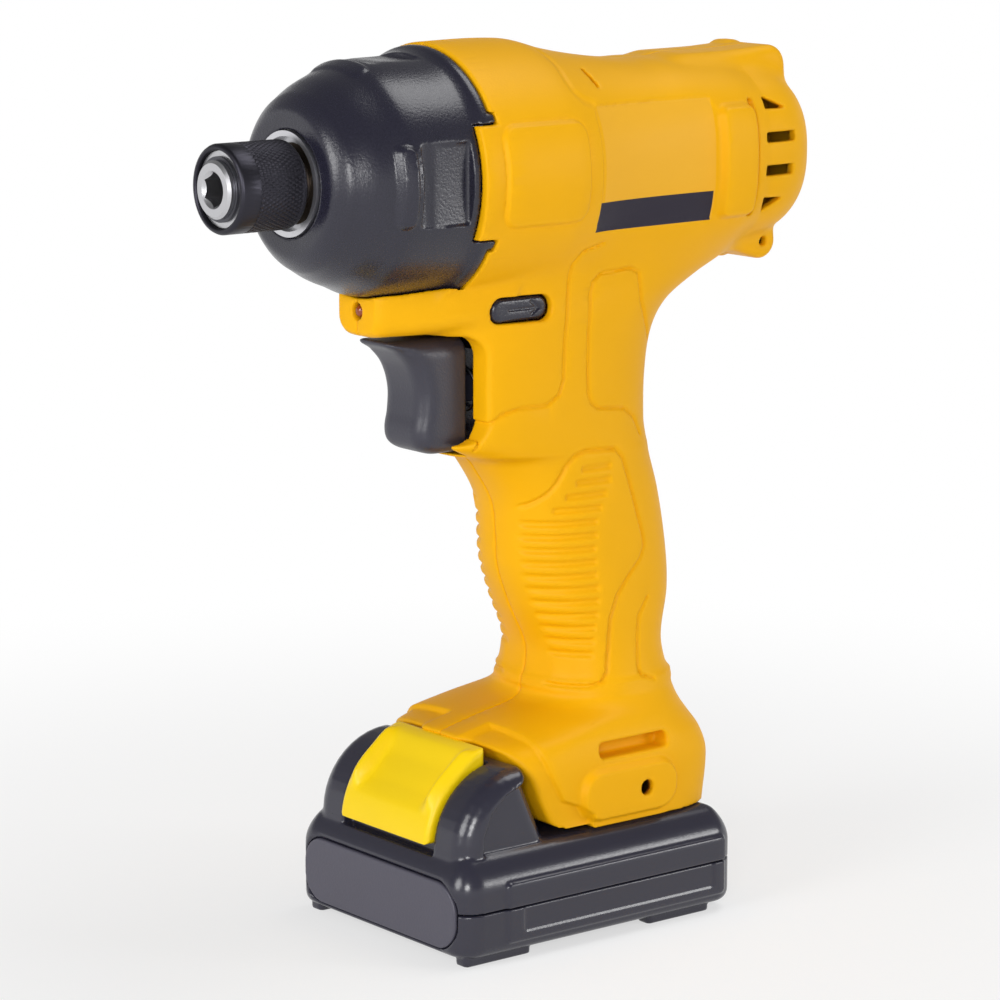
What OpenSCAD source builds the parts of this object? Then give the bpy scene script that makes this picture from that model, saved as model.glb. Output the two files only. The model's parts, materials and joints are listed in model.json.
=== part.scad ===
// Compact impact driver standing on its battery pack.
// Inside the modules x runs back from the drive tip, y to the far side and z up from the drive axis.

/* [Overall] */
// Length from the drive tip to the back of the motor barrel
overall_length = 155; // [152:1:165]
// Height of the drive axis above the feet of the battery
axis_height = 167.2; // [162:0.2:180]

/* [Housing] */
// Radius of the collar round the gearbox
collar_r = 27.6; // [27.4:0.1:30]
// Length of the straight part of the collar
collar_len = 20; // [17:1:22]
// Half width of the barrel beside the motor
waist_half_w = 22; // [20.5:0.5:25]
// Rise of the barrel above the motor
waist_rise = 21.6; // [21:0.1:23]
// Wall of the moulded halves
housing_wall = 2.2; // [1.8:0.1:2.4]
// Front to back depth of the grip
grip_depth = 43.2; // [40:0.2:48]
// Width of the grip across the palm
grip_width = 33.4; // [31:0.2:38]
// Front to back depth of the neck above the base
neck_depth = 32.5; // [31:0.5:36]
// Width of the base over the battery
base_width = 53; // [50:0.5:56]
// Height of the base above the battery deck
base_h = 28.5; // [27:0.5:32]
// Number of finger ribs on each side of the grip
grip_ribs = 14; // [9:1:14]
// Height of a raised pad above the surface round it
pad_rise = 0.8; // [0.4:0.1:1.2]
// Shank radius of the housing screws
screw_r = 1.4; // [1.2:0.1:1.6]

/* [Nose] */
// Gap between the drive tip and the front rim of the sleeve
sleeve_set_back = 1.2; // [0.8:0.1:2]
// Length of the sliding sleeve
sleeve_len = 16.4; // [15.6:0.2:18]
// Outer radius of the sleeve
sleeve_r = 9.4; // [9.2:0.1:9.6]
// Forward travel of the sleeve
sleeve_travel = 4; // [3:0.5:4]
// Radius of the front disc of the nose cover
nose_disc_r = 15.5; // [14:0.5:17]
// Wall of the nose cover
cover_wall = 2; // [1.6:0.1:2.2]

/* [Impact mechanism] */
// Bit socket size across the flats
hex_af = 6.4; // [6.35:0.05:6.6]
// Depth of the bit socket
hex_depth = 24; // [20:1:25]
// Radius of the anvil shank
anvil_r = 6.1; // [5.9:0.05:6.3]
// Length of the anvil bush
bush_len = 13; // [12:0.5:15]
// Length of the anvil lugs along the axis
lug_len = 5.4; // [4.8:0.1:6]
// Outer radius of the hammer
hammer_r = 18.6; // [18:0.1:18.8]
// Length of the hammer body
hammer_len = 16.5; // [16:0.1:17]
// Back stroke of the hammer
hammer_stroke = 6; // [5:0.5:6]
// Turn of the hammer on its cam over the full back stroke, in degrees
cam_turn = 60; // [40:5:70]
// Radius of the cam shaft
cam_shaft_r = 6.2; // [6:0.05:6.3]
// Radius of the cam balls
cam_ball_r = 2.35; // [2.2:0.05:2.4]

/* [Gearbox] */
// Gear module
gear_m = 0.7; // [0.69:0.005:0.71]
// Width of the planet gears
gear_w = 6.5; // [5.5:0.1:7]

/* [Motor] */
// Outer radius of the motor can
motor_r = 16.6; // [16:0.1:16.8]
// Length of the motor can
motor_len = 50; // [48:0.5:51]
// Radius of the motor shaft
shaft_r = 1.6; // [1.5:0.05:1.75]

/* [Controls] */
// Travel of the trigger
trigger_travel = 6.5; // [5:0.5:6.5]
// Width of the trigger
trigger_width = 16; // [15:0.5:17]
// Travel of the direction selector to each side
selector_travel = 3; // [2:0.5:3]

/* [Battery] */
// Width of the battery
pack_width = 61.6; // [61.2:0.2:66]
// Length of the battery
pack_len = 78; // [77.4:0.2:82]
// Height of the battery body under its deck
pack_h = 22; // [21.8:0.1:25]
// Height of the feet
foot_h = 1.9; // [1.5:0.1:3]
// Wall of the battery case
pack_wall = 1.5; // [1.2:0.1:1.6]
// Radius of a battery cell
cell_r = 9.1; // [9:0.05:9.15]
// Length of a battery cell
cell_len = 65.2; // [64.8:0.1:65.4]
// Travel of the battery latch
latch_travel = 2; // [1.5:0.5:2]

/* [Hidden] */
$fn = 48;

// Clearances: a moulded seat, a running fit and a cut that passes a surface
fit = 0.3;
running = 0.05;
past = 1;

// Colours
yellow = "#f0ae0a";
latch_yellow = "#f5d90f";
black = "#2b2930";
dark = "#3a3840";
steel = "#a9a9ad";
bright = "#d0d0d4";
bronze = "#b08d57";
brass = "#c9a646";
copper = "#b5651d";

// Stations along the drive axis, each from the one before
sleeve_back = sleeve_set_back + sleeve_len;
case_front = sleeve_back + 0.65;
cover_front = case_front + 0.5;
bush_front = case_front + 1.8;
lug_x = bush_front + bush_len + 0.4;
hammer_front = lug_x + lug_len + 0.4;
hammer_floor = hammer_front + 3.8;
carrier_x = hammer_front + hammer_len + hammer_stroke - 1.3;
carrier_disc = 2.2;
gear_x = carrier_x + carrier_disc + 0.25;
carrier_rear = gear_x + gear_w + 0.25;
case_back = carrier_rear + carrier_disc + 0.8;
bearing_x = carrier_rear + carrier_disc + 0.2;
bearing_w = 5;
plate_floor = bearing_x + bearing_w + 0.3;
motor_x = plate_floor + 1.7;
motor_back = motor_x + motor_len;

// Radii of the mechanism
hammer_gap = 0.7;
recess_in = 10.2;
recess_out = hammer_r - 4.2;
spring_r = (recess_in + recess_out) / 2;
spring_wire = 1.05;
carrier_r = recess_out - 0.5;
sleeve_bore = anvil_r + 0.1;
sleeve_recess = anvil_r + 2;
case_ring_r = sleeve_r + 1.7;
bush_r = anvil_r + 2.4;
pilot_r = 3.4;
hub_r = 8.5;
bearing_r = 13;
ball_ring = 4.45;
lock_ball_r = 1.6;
land_x = sleeve_set_back + sleeve_travel + 4.8;
land_len = sleeve_travel - 0.4;
lock_ball_x = land_x + 1.6;

// Gear train: sun, planets and ring on one module
sun_teeth = 9;
planet_teeth = 21;
ring_teeth = sun_teeth + 2 * planet_teeth;
planets = 3;
gear_centre = gear_m * (sun_teeth + planet_teeth) / 2;
tooth_slack = 0.12;
pressure_angle = 20;
pin_r = 2;
ring_r = gear_m * ring_teeth / 2 + gear_m * 1.25 + 1.6;

// Collar and nose cover
collar_front = 53.8;
collar_bore = collar_r - housing_wall - 0.2;
lip_r = collar_bore - fit;
lip_back = collar_front + 3;
cover_back_r = collar_r - 0.4;
cover_stations = [
    [cover_front, nose_disc_r],
    [cover_front + 3.3, nose_disc_r + 3],
    [cover_front + 7.3, nose_disc_r + 5.6],
    [cover_front + 11.5, nose_disc_r + 7.5],
    [cover_front + 15, cover_back_r - 2.3],
    [collar_front - 14, cover_back_r - 1.9],
    [collar_front - 5, cover_back_r - 1.4],
    [collar_front - 2.2, cover_back_r - 0.3],
    [collar_front, cover_back_r]
];
case_skin = lip_r - 1.6 - fit;
tongue = 4;
tongue_half = 11.9;
tab_z = 13.2;
tab_half = 1;
tab_len = 1.2;

// Levels of the battery and the base
deck_z = foot_h + pack_h - axis_height;
pack_floor = foot_h - axis_height;
seam_z = deck_z - 12;
base_z = deck_z + fit;
base_top = base_z + base_h;
pack_x = 40.6;
pack_corner = 3;
shoulder_in = 3.4;
shoulder_z = deck_z - 6.2;
tier_z = deck_z - 2.7;
pack_back = pack_x + pack_len;

// Places of the controls
trigger_top = -34.6;
trigger_low = -60.2;
trigger_back = 59.5;
guard_x = 60.5;
guard_low = -57.8;
guard_top = -34.2;
cheek_x = 50.5;
switch_x = trigger_back + trigger_travel + 0.4;
selector_x = 68;
selector_z = -28.8;
selector_len = 15;
selector_h = 5.2;
selector_half = 12.6 + selector_travel;
light_z = -28.2;
light_x = 37.8;
light_r = 1.5;

// Barrel: position, half width, rise, drop and squareness of each section
tail_x = overall_length - 20;
collar_end = collar_front + collar_len;
barrel_stations = [
    [collar_front - tongue, collar_r, collar_r, collar_r, 2],
    [collar_end, collar_r, collar_r, collar_r, 2],
    [collar_end + 9, collar_r - 2, collar_r - 2.2, collar_r - 1.4, 2.1],
    [collar_end + 16, waist_half_w + 2, waist_rise + 2.4, collar_r - 2.6, 2.2],
    [collar_end + 24, waist_half_w + 0.8, waist_rise + 1.2, waist_half_w + 2.4, 2.4],
    [collar_end + 32, waist_half_w + 0.2, waist_rise + 0.4, waist_half_w + 2, 2.6],
    [collar_end + 39, waist_half_w, waist_rise + 0.4, waist_half_w + 1.5, 2.7],
    [tail_x - 8, waist_half_w, waist_rise - 0.4, waist_half_w, 2.6],
    [tail_x, waist_half_w - 1.2, waist_rise - 1.4, waist_half_w - 1.5, 2.4]
];

// Handle: depth under the axis, front, back, half width and squareness of each section
grip_top = 58;
grip_x = 95.4;
neck_x = 98;
rib_top = -66.9;
rib_pitch = 2.99;
function grip_level(t) = grip_top + t * (-base_top - grip_top);
handle_stations = [
    [16, cheek_x, tail_x + 5, 16.4, 2.4],
    [22, cheek_x, tail_x - 1, 16.6, 2.4],
    [26, cheek_x, tail_x - 9, 17, 2.5],
    [31, cheek_x, tail_x - 18, 17.2, 2.6],
    [37, cheek_x, tail_x - 22.5, 16.8, 2.7],
    [46, cheek_x, grip_x + 15.4, 16.4, 2.7],
    [57, cheek_x, grip_x + 15.2, grip_width / 2 - 0.4, 2.7],
    [61, 57.4, grip_x + 15.8, grip_width / 2 - 0.4, 2.6],
    [62.6, 64.4, grip_x + 16.2, grip_width / 2 - 0.4, 2.5],
    [65, 67.2, grip_x + 16.8, grip_width / 2 - 0.4, 2.4],
    [grip_level(0.28), grip_x + 20.2 - grip_depth, grip_x + 19.2, grip_width / 2 - 0.3, 2.4],
    [grip_level(0.52), grip_x - grip_depth / 2, grip_x + grip_depth / 2, grip_width / 2, 2.4],
    [grip_level(0.68), grip_x + 3.2 - grip_depth / 2, grip_x + grip_depth / 2, grip_width / 2 + 0.3, 2.4],
    [grip_level(0.86), neck_x - neck_depth / 2, neck_x + neck_depth / 2, grip_width / 2 + 1, 2.4],
    [grip_level(1), neck_x - neck_depth / 2 - 0.5, neck_x + neck_depth / 2 + 1.4, grip_width / 2 + 2.2, 2.4]
];

// Base: depth, front, back, half width and squareness of each section
base_front = 53;
base_back = 119.4;
base_half = base_width / 2;
base_stations = [
    [-base_top, neck_x - neck_depth / 2 - 0.5, neck_x + neck_depth / 2 + 1.4, grip_width / 2 + 2.2, 2.4],
    [4 - base_top, neck_x - neck_depth / 2 - 3.5, neck_x + neck_depth / 2 + 2, base_half - 5, 2.5],
    [6.5 - base_top, neck_x - 32, base_back - 2.6, base_half - 2.9, 2.9],
    [9 - base_top, base_front + 3, base_back - 1.6, base_half - 1.5, 3.4],
    [12.5 - base_top, base_front, base_back - 0.4, base_half - 0.5, 4.2],
    [17.5 - base_top, base_front, base_back, base_half, 5],
    [-base_z, base_front, base_back - 1.2, base_half, 5]
];

// Chin under the nose: position, half width, level, half height and squareness
chin_z = -27;
chin_x = 36.2;
chin_stations = [
    [chin_x, 6.4, chin_z - 0.4, 5.4, 3.4],
    [chin_x + 1.2, 7.4, chin_z, 6.7, 3.6],
    [41, 9, chin_z, 6.9, 3.4],
    [46, 11.2, chin_z, 7, 3.2],
    [54, 14.2, chin_z, 7, 3],
    [66, 16.4, chin_z, 7.4, 2.8]
];

// Screw places in the side view, each with the length of its boss from the parting plane
housing_bosses = [
    [tail_x + 10, waist_rise - 2.2, 9], [tail_x + 8, 1 - waist_half_w, 9], [50, -29.4, 9],
    [grip_x + 7.6, -36, 13], [grip_x + 13.5, grip_level(0.4) * -1, 12], [neck_x + 10, base_top + 5, 14],
    [base_back - 6, base_z + 9, 18]
];

// Belt hook pads on both sides of the base
hook_x = 94;
hook_z = base_z + 7.2;
insert_r = 3;
thread_r = 1.65;
insert_len = 6;
insert_set = 1.5;
pad_out = 1.5;

// Vents in the tail
vent_x = tail_x + 0.4;
vent_len = 7.6;
vent_h = 2.2;
vent_levels = [11.2, 3.9, -3.4, -10.2];

// Rails that carry the battery
rail_stem = 13.4;
rail_wide = 16.4;
rail_x = 74;
rail_back = 106;
ledge_top = base_z + 4.4;
rail_low = ledge_top + fit;
rail_top = rail_low + 2.6;
tower_x = 80;
tower_back = 99;
tower_half = 11;
socket_back = tower_back + 8.5;
tower_top = rail_top + 6.4;
blade_gap = 7;
dome_half = 27.3;
dome_r = 17.5;
dome_top = base_z + 16.4;
dome_front = pack_x + 2.9;
dome_back = dome_front + 25.5;

// Value of one column of a table of stations, on a smooth curve through them
function station_span(t, p, i = 0) =
    i >= len(t) - 2 || p <= t[i + 1][0] ? i : station_span(t, p, i + 1);
function station_slope(t, i, c) =
    let (a = max(i - 1, 0), b = min(i + 1, len(t) - 1))
    (t[b][c] - t[a][c]) / (t[b][0] - t[a][0]);
function station_value(t, p, c) =
    let (i = station_span(t, p), h = t[i + 1][0] - t[i][0], u = (p - t[i][0]) / h, v = 1 - u)
    (1 + 2 * u) * v * v * t[i][c] + u * v * v * h * station_slope(t, i, c)
    + u * u * (3 - 2 * u) * t[i + 1][c] - u * u * v * h * station_slope(t, i + 1, c);

// Rounded outline between a circle and a rectangle, as unit points
function rounded(n, steps) = [
    for (i = [0:steps - 1])
        let (a = 360 * i / steps, c = cos(a), s = sin(a))
        [sign(c) * pow(abs(c), 2 / n), sign(s) * pow(abs(s), 2 / n)]
];

// Sections of the moulded forms; grow moves the surface out, or in when negative
function barrel_ring(x, grow, steps, shrink = 1) = [
    for (p = rounded(station_value(barrel_stations, min(x, tail_x), 4), steps))
        let (
            w = station_value(barrel_stations, min(x, tail_x), 1) + grow,
            up = station_value(barrel_stations, min(x, tail_x), 2) + grow,
            down = station_value(barrel_stations, min(x, tail_x), 3) + grow
        )
        [x, w * p[0] * shrink, (p[1] > 0 ? up : down) * p[1] * shrink]
];
function upright_ring(t, d, grow, steps, drop) =
    let (
        front = station_value(t, d, 1) - grow,
        back = station_value(t, d, 2) + grow,
        w = station_value(t, d, 3) + grow
    )
    [for (p = rounded(station_value(t, d, 4), steps))
        [(front + back) / 2 - p[0] * (back - front) / 2, w * p[1], -d - drop]];
function chin_ring(x, grow, steps) = [
    for (p = rounded(station_value(chin_stations, x, 4), steps))
        [x, (station_value(chin_stations, x, 1) + grow) * p[0],
            station_value(chin_stations, x, 2) + (station_value(chin_stations, x, 3) + grow) * p[1]]
];

// Solid through a list of rings with the same number of points
module loft(rings) {
    m = len(rings[0]);
    k = len(rings);
    sides = [
        for (j = [0:k - 2], i = [0:m - 1], f = [0, 1])
            let (a = j * m + i, b = j * m + (i + 1) % m)
            f == 0 ? [a, a + m, b] : [b, a + m, b + m]
    ];
    polyhedron(
        points = [for (r = rings) each r],
        faces = concat([[for (i = [0:m - 1]) i]], sides, [[for (i = [m - 1:-1:0]) (k - 1) * m + i]]),
        convexity = 6
    );
}

// Tube wound along x from one end to the other
module coil(x0, x1, mean_r, wire_r, turns) {
    per_turn = 8;
    sides = 4;
    count = round(turns * per_turn);
    loft([
        for (k = [0:count])
            let (a = 360 * k / per_turn, x = x0 + wire_r + (x1 - x0 - 2 * wire_r) * k / count)
            [for (i = [0:sides - 1])
                let (b = -360 * i / sides, r = mean_r + wire_r * cos(b))
                [x + wire_r * sin(b), r * cos(a), r * sin(a)]]
    ]);
}

// Moves from the drive tip on the axis to the bottom centre of the whole tool
module placed() {
    translate([-overall_length / 2, 0, axis_height])
        children();
}

// Solid of revolution about the drive axis from points of radius and position
module turned(points) {
    rotate([0, 90, 0])
        rotate_extrude()
            polygon(points);
}
module rod(x0, x1, r) {
    translate([x0, 0, 0])
        rotate([0, 90, 0])
            cylinder(h = x1 - x0, r = r);
}
module ring(x0, x1, outer, inner) {
    turned([[inner, x0], [outer, x0], [outer, x1], [inner, x1]]);
}
module block(low, high) {
    translate(low)
        cube(high - low);
}
// Cylinder across the tool
module cross_rod(x, z, r, y0, y1) {
    translate([x, y1, z])
        rotate([90, 0, 0])
            cylinder(h = y1 - y0, r = r);
}
// Prism across the tool with rounded corners, between two corners of the side view
module cross_pad(x0, z0, x1, z1, r, y0, y1) {
    hull()
        for (x = [x0 + r, x1 - r], z = [z0 + r, z1 - r])
            cross_rod(x, z, r, y0, y1, $fn = 12);
}
// Outline of a spur gear with straight flanks; slack thins the teeth
function gear_points(teeth, slack, tip, root) = [
    for (i = [0:teeth - 1], k = [0:5])
        let (
            pitch = gear_m * teeth / 2,
            half = PI * gear_m / 4 - slack,
            fall = tan(pressure_angle),
            r = [pitch - root, pitch, pitch + tip, pitch + tip, pitch, pitch - root][k],
            w = [half, half, half - tip * fall, half - tip * fall, half, half][k],
            side = k < 3 ? -1 : 1,
            a = 360 * i / teeth + side * w / r * 180 / PI
        )
        [r * cos(a), r * sin(a)]
];
// Extrudes a drawing of the plane across the axis, its x towards the top, along the axis
module along_axis(x0, length) {
    translate([x0, 0, 0])
        rotate([0, 90, 0])
            rotate([0, 0, 180])
                linear_extrude(height = length)
                    children();
}

// Moulded housing

module barrel_form(grow, count, steps, last) {
    full = 0.8;
    dome = (overall_length - tail_x + grow) / pow(sin(last), full);
    first = collar_front - tongue;
    loft(concat(
        [for (k = [0:count]) barrel_ring(first + (tail_x - first) * k / count, grow, steps)],
        [for (a = [16, 32, 48, 64, last])
            barrel_ring(tail_x + dome * pow(sin(a), full), grow, steps, pow(cos(a), full))]
    ));
}
module upright_form(table, levels, grow, steps, drop) {
    loft([for (d = levels) upright_ring(table, d, grow, steps, drop)]);
}
handle_levels = [16, 30, 38, 47, 57, 61, 62.6, 65, for (k = [1:6]) 65 + (-base_top - 65) * k / 6];
base_levels = [for (d = [0, 2, 4, 5.2, 6.5, 9, 14, 20, base_h]) d - base_top];
module chin_form(grow, steps) {
    first = chin_x - min(grow, 0);
    loft([for (x = [first, first + 0.6, first + 1.4, 41.5, 46, 54, 66]) chin_ring(x, grow, steps)]);
}
module moulded_form(grow, fine) {
    barrel_form(grow, fine ? 11 : 6, fine ? 24 : 12, fine ? 84 : 78);
    upright_form(handle_stations, concat(handle_levels, fine ? [] : [1 - base_top - grow]), grow,
        fine ? 20 : 12, 0);
    upright_form(base_stations, base_levels, grow, fine ? 20 : 12, -min(grow, 0));
    chin_form(grow, fine ? 16 : 8);
}
// Raised forms that follow the surface under them
module raised_forms() {
    intersection() {
        barrel_form(pad_rise, 11, 24, 84);
        union() {
            cross_pad(collar_front + 1.2, -9.8, collar_end + 4.3, 11.8, 4, -40, 40);
            cross_pad(tail_x - 17.5, -12.5, tail_x - 9, 12.6, 2, -40, 40);
        }
    }
    intersection() {
        upright_form(handle_stations, handle_levels, pad_rise * 0.7, 20, 0);
        for (i = [0:grip_ribs - 1], y = [-30, 9.5]) {
            z = rib_top - rib_pitch * i;
            front = grip_x - 22 + max(0, 10.7 - 2.6 * i) + max(0, 1.15 * (i - 5.5));
            back = grip_x - 6.4 + max(0, 3.6 - 1.2 * i);
            block([front, y, z - 0.75], [back, y + 20.5, z + 0.75]);
        }
    }
    for (s = [-1, 1])
        hull() {
            cross_pad(hook_x - 17.5, base_z + 1.6, hook_x + 8.6, hook_z + 6, 5.5,
                s * base_half - 1, s * base_half + 1);
            cross_pad(hook_x - 16.3, base_z + 2.8, hook_x + 7.4, hook_z + 4.8, 4.3,
                s * (base_half + pad_out) - 0.5, s * (base_half + pad_out) + 0.5);
        }
}
// Screw lugs that stand out of the tail, top and bottom
module tail_lugs() {
    for (b = [housing_bosses[0], housing_bosses[1]])
        hull() {
            cross_rod(b[0], b[1], 4, -b[2], b[2], $fn = 16);
            cross_rod(b[0] - 26, b[1] * 0.8, 4, -b[2], b[2], $fn = 16);
            cross_rod(tail_x + 7, b[1] * 0.2, 10, -b[2] - 2, b[2] + 2, $fn = 20);
        }
}
// Ribs and bosses inside the halves
module inner_ribs() {
    block([case_back + fit, -40, -collar_r], [case_back + fit + 2, 40, 40]);
    for (x = [motor_x + 6, motor_back - 12])
        block([x, -40, -waist_half_w - 5], [x + 2, 40, 40]);
    ring(motor_back + 5.3, motor_back + 7.3, waist_half_w + 4, 11, $fn = 12);
    block([switch_x + 24.3, -20, -58], [switch_x + 26.3, 20, -36]);
    block([switch_x - 1, -20, -63.3], [switch_x + 26, 20, -61.3]);
    block([socket_back + fit, -30, rail_top + 1], [socket_back + 2, 30, rail_top + 12]);
    block([tower_back + 2, -30, tower_top + 3.6], [socket_back + 2, 30, tower_top + 5.6]);
    for (b = housing_bosses)
        cross_rod(b[0], b[1], screw_r + 1.9, -40, 40, $fn = 8);
    block([light_x - 2, -4, light_z - 4], [light_x + 6, 4, light_z + 4]);
    for (s = [-1, 1])
        cross_rod(hook_x, hook_z, insert_r + 2, min(s * base_half, s * 16), max(s * base_half, s * 16),
            $fn = 8);
}
// Space that the battery dome, latch and rails take in the base
module battery_room() {
    dome_form(fit);
    block([30, -rail_wide - fit, rail_low - fit], [rail_back + fit, rail_wide + fit, rail_top + fit]);
    block([30, -rail_stem - fit, base_z - past], [rail_back + fit, rail_stem + fit, rail_low]);
    block([30, -tower_half - fit, rail_low], [tower_back + fit, tower_half + fit, tower_top + fit]);
    block([30, -latch_half - 1, base_z], [latch_back + 0.6, latch_half + 1, dome_top + latch_proud + fit]);
}
// Front edge of the base in the side view, behind the dome and the latch
module base_front_cut() {
    translate([0, 40, 0])
        rotate([90, 0, 0])
            linear_extrude(height = 80)
                polygon([[30, base_z + 23], [57.2, base_z + 19.9], [60.3, base_z + 17], [63.7, base_z + 12],
                    [65.7, base_z + 6.6], [68, base_z + 2], [70.8, base_z - past], [30, base_z - past]]);
}
module housing_cuts() {
    rod(collar_front - 10, case_back + fit, collar_bore, $fn = 40);
    rod(case_back, motor_x, bearing_r + 3.4, $fn = 24);
    rod(motor_x - past, motor_back + 5, motor_r + fit, $fn = 24);
    difference() {
        turned(concat([for (k = [0:11]) let (x = cover_steps()[k]) [cover_r(x) + fit, x]],
            [[cover_back_r + fit, collar_front + 0.05], [0, collar_front + 0.05], [0, cover_front]]), $fn = 40);
        block([collar_front - tongue, -40, -tongue_half], [collar_front + 1, 40, tongue_half]);
    }
    block([collar_front - tongue - past, -40, tongue_half], [collar_front, 40, 40]);
    block([collar_front - tongue - past, -40, chin_z + 4], [collar_front, 40, -tongue_half]);
    for (z = [-tab_z, tab_z])
        block([collar_front - tongue, -40, z - tab_half - fit],
            [collar_front + tab_len, 40, z + tab_half + fit]);
    cross_pad(20, guard_low, guard_x, guard_top, 5, -40, 40);
    base_front_cut();
    block([30, -trigger_width / 2 - fit, trigger_low - fit],
        [switch_x - 1, trigger_width / 2 + fit, trigger_top + fit]);
    cross_pad(selector_x - selector_len / 2 - fit, selector_z - selector_h / 2 - fit,
        selector_x + selector_len / 2 + fit, selector_z + selector_h / 2 + fit, 2.8, -40, 40);
    translate([light_x - 5, 0, light_z])
        rotate([0, 90, 0])
            cylinder(h = 14, r = light_r + fit, $fn = 16);
    block([light_x + 3.6, -3.2, light_z - 3.2], [light_x + 5.4, 3.2, light_z + 3.2]);
    for (z = vent_levels)
        block([vent_x, -40, z - vent_h / 2], [vent_x + vent_len, 40, z + vent_h / 2]);
    for (s = [-1, 1])
        cross_pad(hook_x - 12, hook_z + 7.4, hook_x + 7.6, hook_z + 10.8, 1.4,
            min(s * 40, s * (base_half - 5)), max(s * 40, s * (base_half - 5)));
    for (s = [-1, 1]) {
        mouth = base_half + pad_out;
        deep = s * (mouth - insert_len - 0.2);
        face = s * (mouth - insert_set + 0.05);
        cross_rod(hook_x, hook_z, thread_r + 0.15, min(deep, s * 40), max(deep, s * 40), $fn = 24);
        cross_rod(hook_x, hook_z, insert_r + 0.05, min(deep, face), max(deep, face), $fn = 24);
    }
    for (b = housing_bosses) {
        cross_rod(b[0], b[1], screw_r + 0.2, -b[2] + 1.5, 40, $fn = 8);
        cross_rod(b[0], b[1], 2.8 + fit, b[2] - 2, 40, $fn = 12);
    }
    battery_room();
}
module housing() {
    difference() {
        union() {
            difference() {
                union() {
                    moulded_form(0, true);
                    raised_forms();
                    tail_lugs();
                }
                difference() {
                    moulded_form(-housing_wall, false);
                    block([30, -40, trigger_low - 4], [guard_x + housing_wall, 40, guard_top + 1.8]);
                    block([30, -40, trigger_low - 7.5], [guard_x + 9, 40, trigger_low - 1.4]);
                }
            }
            intersection() {
                moulded_form(-housing_wall / 2, false);
                inner_ribs();
            }
        }
        housing_cuts();
    }
}
module left_housing() {
    placed()
        color(yellow)
            intersection() {
                housing();
                block([0, -60, -axis_height], [overall_length + 20, 0, 60]);
            }
}
module right_housing() {
    placed()
        color(yellow)
            intersection() {
                housing();
                block([0, 0, -axis_height], [overall_length + 20, 60, 60]);
            }
}
module housing_screws() {
    placed()
        color(steel)
            for (b = housing_bosses) {
                cross_rod(b[0], b[1], screw_r, -b[2] + 2, b[2] - 1.9);
                cross_rod(b[0], b[1], 2.7, b[2] - 2, b[2] + 0.2);
            }
}
module belt_hook_inserts() {
    placed()
        color(brass)
            for (s = [-1, 1]) {
                y0 = min(s * (base_half + pad_out - insert_set), s * (base_half + pad_out - insert_len));
                y1 = max(s * (base_half + pad_out - insert_set), s * (base_half + pad_out - insert_len));
                difference() {
                    cross_rod(hook_x, hook_z, insert_r, y0, y1);
                    cross_rod(hook_x, hook_z, thread_r, y0 - past, y1 + past);
                }
            }
}

// Nose

function cover_r(x) = station_value(cover_stations, max(x, cover_front), 1);
function cover_steps() = [for (k = [0:12]) cover_front + (collar_front - cover_front) * k / 12];
module nose_cover() {
    flat_x = cover_front + 17.5;
    flat_end = collar_front - tongue - 2;
    placed()
        color(black)
            difference() {
                union() {
                    turned(concat(
                        [[case_ring_r + 0.2, cover_front]],
                        [for (x = cover_steps()) [cover_r(x), x]],
                        [[lip_r, collar_front], [lip_r, lip_back], [lip_r - 1.6, lip_back]],
                        [for (k = [12:-1:2]) let (x = cover_steps()[k]) [case_r(x) + fit, x]],
                        [[case_r(cover_steps()[2]) + fit, cover_front + cover_wall],
                            [case_ring_r + 0.2, cover_front + cover_wall]]
                    ));
                    intersection() {
                        ring(collar_front - 1, collar_front + tab_len - 0.1, cover_back_r, lip_r - 1);
                        for (z = [-tab_z, tab_z])
                            block([30, -40, z - tab_half], [90, 40, z + tab_half]);
                    }
                }
                for (s = [-1, 1])
                    block([flat_x, min(s * 40, s * (cover_back_r - 3)), -8.4],
                        [flat_end, max(s * 40, s * (cover_back_r - 3)), 8.8]);
                block([flat_x - 1, -8, cover_back_r - 2.6], [flat_end - 2, 8, 40]);
                intersection() {
                    ring(collar_front - tongue - fit, collar_front + past, collar_r + 4, lip_r);
                    block([30, -40, -tongue_half - fit], [90, 40, tongue_half + fit]);
                }
            }
}
// Skin of the hammer case, under the nose cover
function case_r(x) = min(cover_r(x) - cover_wall - fit, case_skin);
module hammer_case() {
    ring_bore = ring_r + 0.1;
    dome_x = lug_x - 0.5;
    placed()
        color(bright)
            turned(concat(
                [[case_ring_r - 1.2, case_front], [case_ring_r, case_front],
                    [case_ring_r, cover_front + cover_wall + fit],
                    [case_r(cover_steps()[2]), cover_front + cover_wall + fit]],
                [for (k = [2:12]) [case_r(cover_steps()[k]), cover_steps()[k]]],
                [[case_skin, lip_back + fit], [lip_r, lip_back + fit], [lip_r, case_back],
                    [ring_bore, case_back], [ring_bore, gear_x - 0.6], [hammer_r + hammer_gap, gear_x - 0.6],
                    [hammer_r + hammer_gap, dome_x + 4], [hammer_r + hammer_gap - 3, dome_x],
                    [bush_r + 0.02, dome_x], [bush_r + 0.02, bush_front], [case_ring_r - 1.2, bush_front]]
            ));
}
module anvil_bush() {
    placed()
        color(bronze)
            ring(bush_front, bush_front + bush_len, bush_r, anvil_r + running);
}
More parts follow.
